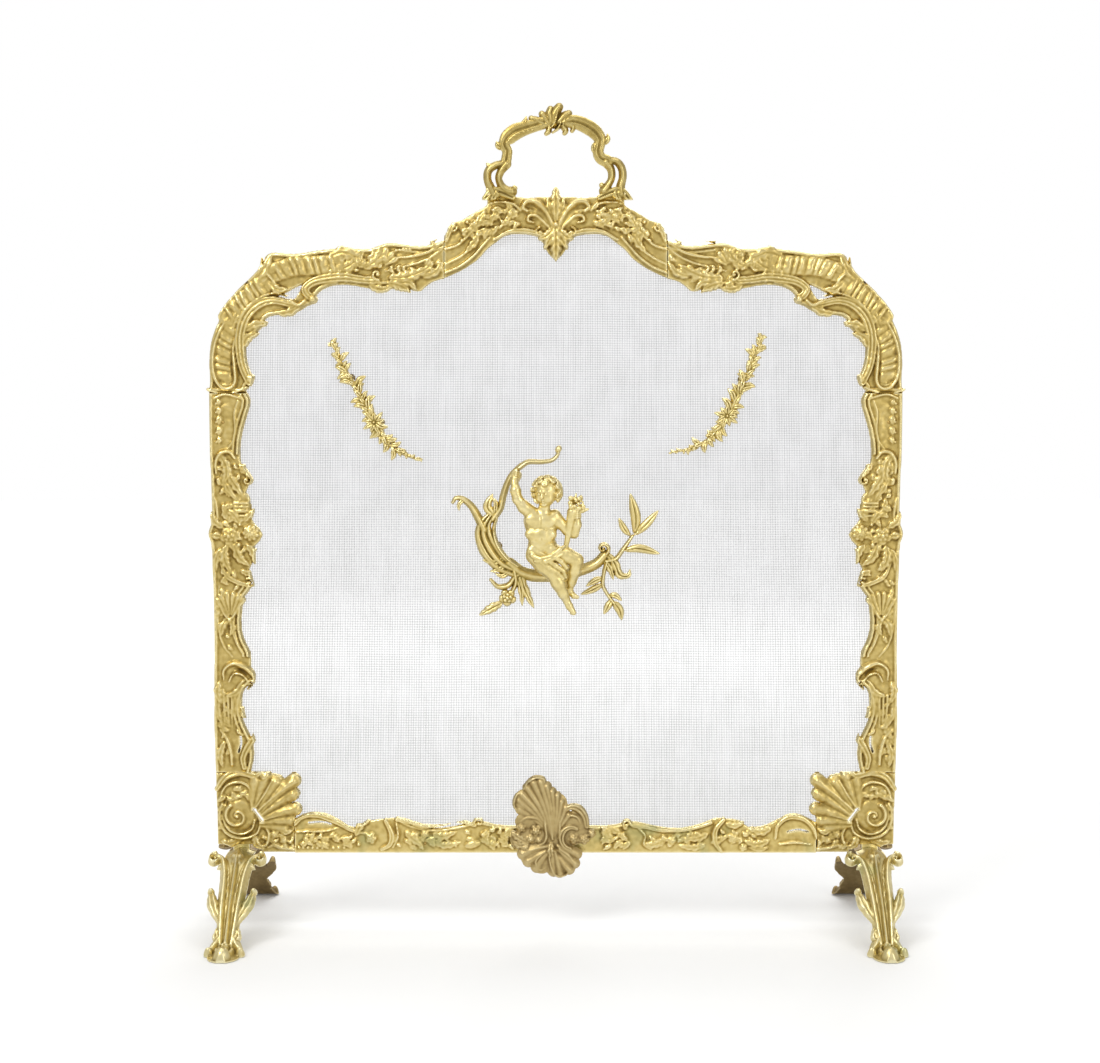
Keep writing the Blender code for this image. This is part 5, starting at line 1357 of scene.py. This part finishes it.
    # Drapery across the lap, in folds that fall between the legs.
    for fold in ([(-22, -25, 361), (-14, -27.5, 358), (-4, -28, 361), (4, -26, 367), (8, -23, 370)],
                 [(-19, -26.5, 356.5), (-9, -28.6, 356), (0, -28.4, 360), (7, -25.5, 364)],
                 [(-13, -28, 355), (-6, -29, 350), (2, -28.4, 345), (6.5, -26, 340)],
                 [(-8, -28.6, 357), (0, -28.8, 352), (7, -27, 347), (9, -24, 341)],
                 [(-2, -28.4, 360), (5, -27.6, 356), (10, -26, 350)],
                 [(-24, -20, 365), (-22, -24, 362), (-16, -27, 357)]):
        wax.limb(fold, [1.9, 2.6, 2.2, 2.1, 1.4][:len(fold)], 0.9)
    # Neck and head, turned to one side and slightly down.
    wax.limb([(-12, -17, 400), (-10.5, -18, 407.5)], (6.2, 5.4), 2)
    forward = np.array([-0.42, -0.88, -0.20])
    forward /= np.linalg.norm(forward)
    across = np.cross((0, 0, 1.0), forward)
    across /= np.linalg.norm(across)
    frame_of_head = np.array([across, forward, np.cross(forward, across)])
    middle = np.array([-8.5, -17.5, 421.5])
    size = 1.16  # a child's head is large for its body

    def on_head(a, f, u):
        return middle + size * np.array([a, f, u]) @ frame_of_head

    def shape(place, radii, soft, cut=False):
        wax.lump(on_head(*place), size * np.array(radii), soft, frame_of_head, cut)

    shape((0, 0, 0), (9.6, 9.8, 10.6), 1)
    shape((0, 3.6, -5.0), (7.8, 5.6, 6.4), 2)
    for way in (-1, 1):
        shape((3.9 * way, 6.0, -4.6), (3.1, 2.8, 3.0), 1.6)
        shape((3.3 * way, 9.7, -0.2), (1.9, 1.5, 1.2), 0.9, cut=True)
        shape((3.2 * way, 8.2, -0.3), (1.4, 1.1, 0.9), 0.3)
        shape((8.9 * way, -0.5, -2.4), (1.3, 2.0, 2.6), 0.6)
        wax.limb([on_head(1.4 * way, 9.5, 1.9), on_head(5.2 * way, 8.0, 1.7)], (0.8, 0.6), 0.9)
    wax.limb([on_head(0, 9.3, 0.8), on_head(0, 10.5, -2.6)], (0.9, 1.6), 0.8)
    wax.limb([on_head(-2.0, 8.6, -5.3), on_head(0, 9.5, -5.1), on_head(2.0, 8.6, -5.3)], (0.6, 1.0, 0.6), 0.4)
    wax.limb([on_head(-1.5, 8.4, -6.7), on_head(0, 9.2, -6.9), on_head(1.5, 8.4, -6.7)], (0.6, 1.0, 0.6), 0.4)
    shape((0, 7.6, -9.3), (2.6, 2.0, 2.0), 1)
    # Curls: coiled locks set all over the crown, thick at the sides.
    for k in range(72):
        up = 1 - 2 * (k + 0.5) / 72
        turn = k * GOLDEN_ANGLE
        spot = np.array([math.cos(turn) * math.sqrt(1 - up * up), math.sin(turn) * math.sqrt(1 - up * up),
                         up])
        if spot[1] > 0.40 - 0.25 * spot[2] and spot[2] < 0.58 or spot[2] < -0.62:
            continue
        lock = 2.7 + 1.3 * rng.random()
        place = on_head(*(spot * (11.8, 11.0, 11.8)))
        out = spot @ frame_of_head
        side = np.cross(out, (0.2, 0.3, 1.0))
        side /= np.linalg.norm(side)
        rise = np.cross(out, side)
        coil = [place + out * 0.9 + lock * 0.66 * (side * math.cos(a) + rise * math.sin(a))
                for a in np.linspace(0, 4.7, 6) + 6 * rng.random()]
        wax.limb(coil, [1.0] * len(coil), 0.25)
        wax.lump(place - out * 0.8, (0.8 * lock, 0.8 * lock, 0.8 * lock), 0.5)
    # The lug at the back that the screw holds.
    x, z = screw_places("cherub_screw")[0]
    wax.limb([(x, -14, z), (x, -3.2, z)], (5.0, 4.0), 0.6)
    wax.field[:, wax.axes[1] > -1.3, :] = 9.0
    verts, faces = wax.skin()
    return mesh_piece("cherub_figure_casting", verts, faces, BRIGHT, "cherub_figure",
                      gain=0.7)


def bevelled_block(low, high, bevel=0.8):
    """Vertices and faces, in mm, of a block with eased edges."""
    bm = bmesh.new()
    bmesh.ops.create_cube(bm, size=1)
    size, middle = np.subtract(high, low), np.add(high, low) / 2
    for vert in bm.verts:
        vert.co = Vector(vert.co[k] * size[k] + middle[k] for k in range(3))
    bmesh.ops.bevel(bm, geom=bm.edges[:], offset=bevel, segments=3, affect="EDGES", profile=0.5)
    bm.verts.index_update()
    verts = [tuple(vert.co) for vert in bm.verts]
    faces = [[vert.index for vert in face.verts] for face in bm.faces]
    bm.free()
    return verts, faces


def handle():
    """The bail: C-scrolls in the round under a knot of leaves, and at each foot a tab behind the crest."""
    r = free_relief((-72, 695), (76, 786), 0.55)
    # Left arm and its forked foot.
    r.ridge([(-47, 727), (-46, 733), (-45.5, 739), (-48, 745), (-45, 751), (-38, 756.5), (-29, 760),
             (-17, 763.5), (-5, 767)], 7.8, 5.0, "twin",
            (0.66, 0.62, 0.64, 0.95, 1.0, 0.86, 0.78, 0.76, 0.76), fall=0.7)
    r.ridge([(-46, 727), (-51, 721), (-53.5, 714), (-51, 707), (-46, 702.5), (-41, 701.5)], 3.7, 4.8, "round",
            (1.2, 1, 0.9, 1.1, 1.3), fall=0.5)
    r.ridge([(-50, 727.5), (-57, 725.5), (-63, 721), (-64, 713), (-61, 705), (-58, 699)], 3.8, 4.8, "round",
            (0.9, 1, 1, 1.3), fall=0.5)
    r.ridge([(-66, 695), (-60, 701), (-52, 701), (-40, 696)], 4.6, 4.6, "twin", (0.7, 1, 0.6), fall=0.6)
    r.leaf([(-58, 706), (-57, 699), (-60, 692)], 5.0, 5.2, 3)
    r.bead((-38.5, 705), 2.7, 4.6)
    r.leaf([(-50, 741), (-54, 744), (-55.5, 748)], 3.0, 4.2, 0)
    r.leaf([(-58, 722), (-63, 726), (-65, 728)], 2.8, 4.2, 0)
    r.leaf([(-33, 762), (-29, 766), (-27.5, 771)], 2.6, 4.2, 0)
    r.beads([(-44, 748), (-38, 753), (-30, 756), (-22, 758)], 1.3, 2.9, 5.2)
    # Right arm and its forked foot.
    r.ridge([(9, 767), (21, 765), (31, 760.5), (37.5, 755.5), (41, 750), (40.5, 744), (39.5, 738),
             (42, 732.5), (48, 729.5)], 7.4, 5.0, "twin", (0.8, 0.85, 0.92, 0.95, 0.9, 0.76, 0.7, 0.74, 0.8),
            fall=0.7)
    r.ridge([(47, 728.5), (51.5, 722), (52, 714), (48.5, 707), (45, 702)], 3.7, 4.8, "round",
            (1.2, 1, 0.9, 1.3), fall=0.5)
    r.ridge([(50, 730.5), (57, 729), (61.5, 723), (62.5, 715), (60.5, 706), (61, 699)], 3.8, 4.8, "round",
            (0.9, 1, 1, 1.3), fall=0.5)
    r.ridge([(69, 694), (62, 701), (53, 701), (41, 696)], 4.6, 4.6, "twin", (0.7, 1, 0.6), fall=0.6)
    r.leaf([(58, 706), (57, 699), (60, 692)], 5.0, 5.2, 3)
    r.bead((43, 707.5), 2.7, 4.6)
    r.bead((67.5, 706), 2.3, 4.4)
    r.leaf([(45, 745), (48.5, 750), (48, 755)], 2.6, 4.0, 0)
    r.leaf([(36, 747), (35, 741), (36, 736)], 2.4, 5.0, 0)
    # The knot of leaves at the top.
    for points, width, lift in (
            ([(-2, 764), (-1, 773), (3, 779.5)], 5.6, 5.4), ([(-5, 766), (-6, 773), (-5, 777.5)], 4.6, 5.2),
            ([(-8, 765), (-11, 770), (-13, 773)], 4.6, 5.0), ([(3, 766), (8, 771), (12, 773.5)], 4.8, 5.2),
            ([(6, 765), (13, 768), (19, 769)], 4.6, 5.0), ([(-12, 764), (-18, 767), (-23, 769)], 4.0, 4.8),
            ([(-6, 762), (-7, 757), (-9, 755)], 3.0, 4.8), ([(6, 762), (9, 758), (8, 755.5)], 3.2, 4.8),
            ([(14, 764), (16, 760), (15, 757.5)], 2.8, 4.6)):
        r.ridge(points, width, lift, "round", (0.8, 1, 0.7), fall=0.6)
    r.ridge([(-9, 757), (-2, 763), (1, 772), (2, 781)], 1.6, 6.4, taper=(0.6, 1, 0.5))
    r.ridge([(-3, 756), (3, 761), (5, 769)], 1.8, 6.2, taper=(0.6, 1, 0.6))
    r.ridge([(9, 757), (7, 764), (11, 773)], 1.5, 5.8, taper=(0.6, 1, 0.5))
    limit = CAD_HIGH.z / MM - 0.3
    r.edge = np.minimum(np.minimum(r.edge, limit - r.z), r.z - 691)
    r.ease(1)
    cast_relief("carrying_handle_bail", r, HANDLE_BRASS, "carrying_handle", foot=4.5, rim=0.6,
                double=True, gain=0.6)
    tab_verts, tab_faces = [], []
    for x, z in screw_places("handle"):
        for low, high in (((x - 5, 0.3, z - 5.5), (x + 5, 3.0, 703)),
                          ((x - 6, -8, 697.4), (x + 6, 3.2, 704.5))):
            verts, faces = bevelled_block(low, high, 1.0)
            tab_faces += [[k + len(tab_verts) for k in face] for face in faces]
            tab_verts += verts
    mesh_piece("carrying_handle_tabs", tab_verts, tab_faces, GILT, "carrying_handle", 50, 4)


# The underside of a leg, as reach from the screen's middle plane and height.
LEG_LINE = [(117.3, 0.6), (108, 0.5), (99, 0.7), (91.5, 3.5), (86, 9.5), (80, 17), (72, 27.5), (63, 37.5),
            (54, 45), (45, 52.5), (36, 60.5), (28, 67), (20, 70.2), (10, 71), (1, 71)]


def scroll_leg(name, x, tang_x, way):
    """A leg: fluted shaft, knee volutes, leaf flares and a three-lobed toe, bent along its underside."""
    line = smooth_path(LEG_LINE, 0.5)
    steps = np.hypot(*np.diff(line, axis=0).T)
    runs = np.concatenate([[0], np.cumsum(steps)])
    r = free_relief((-30, 0), (30, runs[-1]), 0.6)
    r.ridge([(0, 14), (0, 60), (0, 100), (0, 146)], 13, 4.4, fall=0.85, taper=(1.1, 0.72, 0.82, 1.0, 1.0))
    for side in (-1, 1):
        m = mirror_to(side)
        r.ridge(m([(5, 30), (6.5, 50), (8, 75), (9.2, 100), (13, 117), (20, 123)]), 4.9, 8.0, "round",
                (0.7, 0.9, 1, 0.8), fall=0.5)
        r.ridge(m([(3.2, 58), (4.2, 85), (6, 106), (10, 118)]), 1.7, 6.4, taper=(0.5, 1, 0.6))
        r.volute(m([(21, 119)])[0], 6.2, 1.1, 90, -side, 2.6, 8.6)
        r.leaf(m([(7, 106), (13, 112), (18, 110)]), 3.6, 6.6, 3)
        r.leaf(m([(6, 47), (11, 58), (17, 72), (20, 85)]), 5.6, 6.4, 4, 0.1, 0.12, tip=1.5)
        r.bead(m([(20, 84)])[0], 3.4, 7.4)
        r.leaf(m([(5, 30), (10, 38), (9, 50)]), 3.4, 6.4, 3)
        r.leaf(m([(5, 66), (9, 74), (11, 84)]), 2.4, 5.2, 0)
        r.ridge(m([(5, 42), (8, 34), (12, 26), (14, 21)]), 4.8, 8.0, taper=(0.6, 1, 0.8))
        r.bead(m([(14.5, 20)])[0], 4.4, 8.4)
        r.ridge(m([(5, 30), (7, 20), (5.5, 9)]), 3.4, 8.4, taper=(0.5, 1, 0.8))
    r.ridge([(0, 28), (0, 60), (0, 95), (0, 131)], 3.0, 8.8, taper=(1, 0.9, 1, 1.1))
    r.leaf([(0, 110), (0, 122), (0, 134)], 6.0, 8.6, 3)
    r.ridge([(0, 34), (0, 18), (0, 4)], 6.4, 11.0, taper=(0.6, 1, 0.9))
    r.bead((0, 8.4), 8.0, 12.4)
    r.leaf([(0, 34), (0, 24), (0, 14)], 4.0, 12.0, 3)
    r.edge = np.minimum(r.edge, np.minimum(r.z - 0.4, runs[-1] - 0.6 - r.z))
    r.edge = np.minimum(r.edge, CAD_HIGH.x / MM - 0.4 - HALF_WIDTH + LEG_INSET - np.abs(r.x))
    knee = np.clip((r.z - 126) / 8, 0, 1)
    r.top = np.minimum(r.top, 12.8 - knee * 5.6)
    r.top = np.minimum(r.top, 1.2 + 11.6 * dome(1 - np.clip((r.z - 0.4) / 9, 0, 1)))
    r.edge = np.minimum(r.edge, 0.75 * (r.z + 3.5 - 0.75 * np.abs(r.x)))
    r.ease(2)

    def bend(verts):
        along = np.clip(verts[:, 2], 0, runs[-1])
        reach = np.interp(along, runs, line[:, 0])
        height = np.interp(along, runs, line[:, 1])
        ahead = np.minimum(along + 4, runs[-1])
        behind = np.maximum(along - 4, 0)
        dr = np.interp(ahead, runs, line[:, 0]) - np.interp(behind, runs, line[:, 0])
        dz = np.interp(ahead, runs, line[:, 1]) - np.interp(behind, runs, line[:, 1])
        long = np.hypot(dr, dz)
        lift = -verts[:, 1]
        reach = reach + dz / long * lift
        return np.stack([x + verts[:, 0], way * reach, height - dr / long * lift], 1)

    # The rear legs and their tangs take the darker brass: painted shade.
    metal = LEG_BRASS if way < 0 else SHADED_REAR_LEG_BRASS
    cast_relief(f"{name}_casting", r, metal, name, rim=1.2, wall=40, bend=bend, gain=0.45,
                turned=way > 0)
    front = 0.3 if way < 0 else 4.6  # the rear leg's tang lies behind the front leg's
    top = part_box(name)[1].z / MM
    verts, faces = bevelled_block((tang_x - 8, front, 70.8), (tang_x + 8, front + 4, top), 1.1)
    mesh_piece(f"{name}_tang_plate", verts, faces, metal, name, 50, 4)


def legs():
    for side, word in SIDES.items():
        bolts = screw_places(f"{word}_leg_bolt")
        for end, way in (("front", -1), ("rear", 1)):
            scroll_leg(f"{end}_{word}_leg", side * (HALF_WIDTH - LEG_INSET), bolts[0][0], way)


# ---------------------------------------------------------------- wire cloth and fasteners

# Such cloth is woven nearer 1 mm. The wider pitch lets single wires show.
CLOTH_PITCH = 1.6
WIRE_RADIUS = 0.22
WIRE_DRIFT = 0.035  # how far one row may stray from the last
WIRE_BEND = 28  # from one bend of a wire to the next
THREAD_RADIUS = 1.5


def wire_cloth():
    """Two layers of drawn wire. Hand stretching has left the rows a little uneven, which shows as streaks."""
    low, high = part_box("wire_cloth_panel")
    middle = (low.y + high.y) / 2 / MM
    loops = cad_loops("wire_cloth_panel")
    edges = np.vstack([np.hstack([loop, np.roll(loop, -1, axis=0)]) for loop in loops])
    rng = np.random.default_rng(3)
    verts, faces = [], []
    corners = 2 * math.pi * np.arange(3) / 3

    def sway(a, b, seed):
        return 0.3 * np.sin(a / 61 + b / 143 + seed) + 0.12 * np.sin(a / 23 - b / 97 + 2 * seed)

    for across, layer in ((0, -1), (1, 1)):
        along = 1 - across
        start, stop = (low[2 * across] / MM + 0.5, high[2 * across] / MM - 0.5)
        count = int((stop - start) / CLOTH_PITCH)
        drift = np.cumsum(rng.normal(0, WIRE_DRIFT, count))
        drift -= np.convolve(np.pad(drift, 20, mode="edge"), np.ones(41) / 41, "valid")
        for index in range(count):
            place = start + (index + 0.5) * (stop - start) / count + drift[index]
            a, b = edges[:, across], edges[:, 2 + across]
            hit = (a < place) != (b < place)
            share = (place - a[hit]) / (b[hit] - a[hit])
            cuts = np.sort(edges[hit, along] + share * (edges[hit, 2 + along] - edges[hit, along]))
            for first, last in zip(cuts[::2], cuts[1::2]):
                if last - first < 3:
                    continue
                pieces = max(2, int((last - first) / WIRE_BEND))
                run = np.linspace(first + 0.2, last - 0.2, pieces + 1)
                fade = np.sin(math.pi * np.linspace(0, 1, pieces + 1)) ** 0.4
                side = place + sway(run, place, 1.7 * across) * fade
                for s, p in zip(run, side):
                    for corner in corners:
                        point = [0.0, 0.0, 0.0]
                        point[2 * along] = s
                        point[2 * across] = p + WIRE_RADIUS * math.cos(corner)
                        point[1] = middle + layer * WIRE_RADIUS + WIRE_RADIUS * 0.95 * math.sin(corner)
                        verts.append(point)
                base = len(verts) - 3 * (pieces + 1)
                for k in range(pieces):
                    for c in range(3):
                        d = (c + 1) % 3
                        quad = [base + 3 * k + c, base + 3 * k + d, base + 3 * k + 3 + d,
                                base + 3 * k + 3 + c]
                        faces.append(quad if across else quad[::-1])
                end = base + 3 * pieces
                cap = [[base + 2, base + 1, base], [end, end + 1, end + 2]]
                faces.extend(cap if across else [face[::-1] for face in cap])
    return mesh_piece("wire_cloth", verts, faces, WIRE, "wire_cloth_panel", passes=0)


def screw_mesh(radius, head, length, thick):
    """A turned screw along Y, its domed head at the back, not yet slotted: points forward at -length."""
    profile = [(0.02, -length), (radius * 0.6, 0.5 - length), (radius, 1.2 - length), (radius, 0),
               (head * 0.94, 0), (head, thick * 0.12), (head, thick * 0.45), (head * 0.9, thick * 0.78),
               (head * 0.6, thick * 0.95), (0.02, thick)]
    sides = 28
    verts, faces = [], []
    for r, y in profile:
        verts += [(r * math.cos(2 * math.pi * k / sides), y, r * math.sin(2 * math.pi * k / sides))
                  for k in range(sides)]
    for ring in range(len(profile) - 1):
        for k in range(sides):
            a, b = ring * sides + k, ring * sides + (k + 1) % sides
            faces.append([a, b, b + sides, a + sides])
    faces.append(list(range(sides))[::-1])
    last = (len(profile) - 1) * sides
    faces.append([last + k for k in range(sides)])
    return verts, faces


def cut_slot(piece, head, thick):
    """Saws the slot across a screw's head."""
    long, half = head * 1.2, head * 0.15
    blade = bare_piece("slot", *bevelled_block((-long, thick * 0.42, -half), (long, thick * 2, half), 0.02))
    cut = piece.modifiers.new("slot", "BOOLEAN")
    cut.object, cut.operation = blade, "DIFFERENCE"
    graph = bpy.context.evaluated_depsgraph_get()
    made = bpy.data.meshes.new_from_object(piece.evaluated_get(graph))
    bpy.data.objects.remove(piece)
    bpy.data.objects.remove(blade)
    return made


def screws():
    """Every slotted screw, each turned to its own angle."""
    made = {}
    names = sorted(name for name in frame["nodes"] if "_screw" in name)
    for index, name in enumerate(names):
        low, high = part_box(name)
        head = round((high.x - low.x) / 2 / MM, 1)
        thick = 1.5 if head > 3.5 else 1.7
        length = round((high.y - low.y) / MM - thick, 1)
        if (head, length) not in made:
            blank = bare_piece("screw_blank", *screw_mesh(THREAD_RADIUS, head, length, thick))
            made[head, length] = cut_slot(blank, head, thick)
        piece = link(bpy.data.objects.new(f"{name}_turned", made[head, length].copy()))
        piece.rotation_euler = (0, 0.4 + 2.3 * index, 0)
        piece.location = ((low.x + high.x) / 2, high.y - thick * MM, (low.z + high.z) / 2)
        dress(piece, SCREW, name, 40, 0)


def eased_cad(word, material):
    """CAD pieces whose shape is right: their edges are eased and they get their finish."""
    for name, node in frame["nodes"].items():
        if word not in name or "_screw" in name:
            continue
        bevel = node.modifiers.new("eased_edges", "BEVEL")
        bevel.width = 0.4 * MM
        bevel.segments = 2
        bevel.limit_method = "ANGLE"
        bevel.angle_limit = math.radians(50)
        node.data.materials.clear()
        node.data.materials.append(material)


# ---------------------------------------------------------------- stage

def area_light(name, place, target, size, power):
    light = bpy.data.lights.new(name, "AREA")
    light.shape = "RECTANGLE"
    light.size, light.size_y = size
    light.energy = power
    made = link(bpy.data.objects.new(name, light))
    made.location = place
    made.rotation_euler = (Vector(target) - Vector(place)).to_track_quat("-Z", "Y").to_euler()


def studio():
    """A white floor that runs into white surroundings, soft light, and a camera in front of the screen."""
    scene = bpy.context.scene
    scene.view_settings.view_transform = "Standard"
    world = bpy.data.worlds.new("white_studio")
    scene.world = world
    world.use_nodes = True
    tree = world.node_tree
    shown = tree.nodes["Background"]
    shown.inputs["Color"].default_value = (1, 1, 1, 1)
    shown.inputs["Strength"].default_value = 1.0
    lit = add_node(tree, "Background", {"Color": (1, 1, 1, 1), "Strength": 0.75})
    rays = add_node(tree, "LightPath")
    mixer = add_node(tree, "MixShader", {0: rays.outputs["Is Camera Ray"]})
    tree.links.new(lit.outputs[0], mixer.inputs[1])
    tree.links.new(shown.outputs[0], mixer.inputs[2])
    tree.links.new(mixer.outputs[0], tree.nodes["World Output"].inputs["Surface"])
    area_light("key", (-1.3, -1.5, 2.1), (0, 0, 0.4), (1.0, 1.0), 27)
    area_light("fill", (1.7, -1.9, 1.2), (0, 0, 0.35), (0.9, 1.4), 11)
    area_light("top", (0, 0.1, 2.6), (0, 0, 0), (2.4, 1.6), 20)
    area_light("back", (0.2, 1.9, 1.5), (0, 0, 0.4), (1.6, 1.2), 18)

    bpy.ops.mesh.primitive_plane_add(size=14, location=(0, 0, 0))
    floor = bpy.context.object
    floor.name = "floor"
    paint, tree, shader = finish("matt_white_floor", 0.0, 0.75)
    place = add_node(tree, "TexCoord").outputs["Object"]
    mottle = add_node(tree, "TexNoise", {"Vector": place, "Scale": 3.0, "Detail": 5.0}).outputs["Fac"]
    tree.links.new(ramp(tree, mottle, [(0.3, "#dbdbda"), (0.7, "#dfdfde")]), shader.inputs["Base Color"])
    # Painted light: the floor glows, faintly near the screen and more the farther out, so that the outer
    # sweep stays as white as the middle and the shadows near the screen are lifted.
    away = add_node(tree, "VectorMath", {0: place}, operation="LENGTH").outputs["Value"]
    glow = add_node(tree, "MapRange", {"Value": away, "From Min": 0.9, "From Max": 2.6, "To Min": 0.06,
                                       "To Max": 0.46}).outputs[0]
    shader.inputs["Emission Color"].default_value = (1, 1, 1, 1)
    tree.links.new(glow, shader.inputs["Emission Strength"])
    floor.data.materials.append(paint)

    camera = bpy.data.cameras.new("camera")
    camera.sensor_width = 36
    camera.lens = 55.64
    seat = link(bpy.data.objects.new("camera", camera))
    seat.location = (-0.0055, -1.616, 0.507)
    seat.rotation_euler = (math.radians(90 - 4.42), 0, 0)
    scene.camera = seat


studio()
frame_castings()
palmette()
for half in SIDES:
    spray(half)
branch()
putto()
handle()
legs()
wire_cloth()
screws()
eased_cad("strap", STRAP)
eased_cad("bolt", SCREW)
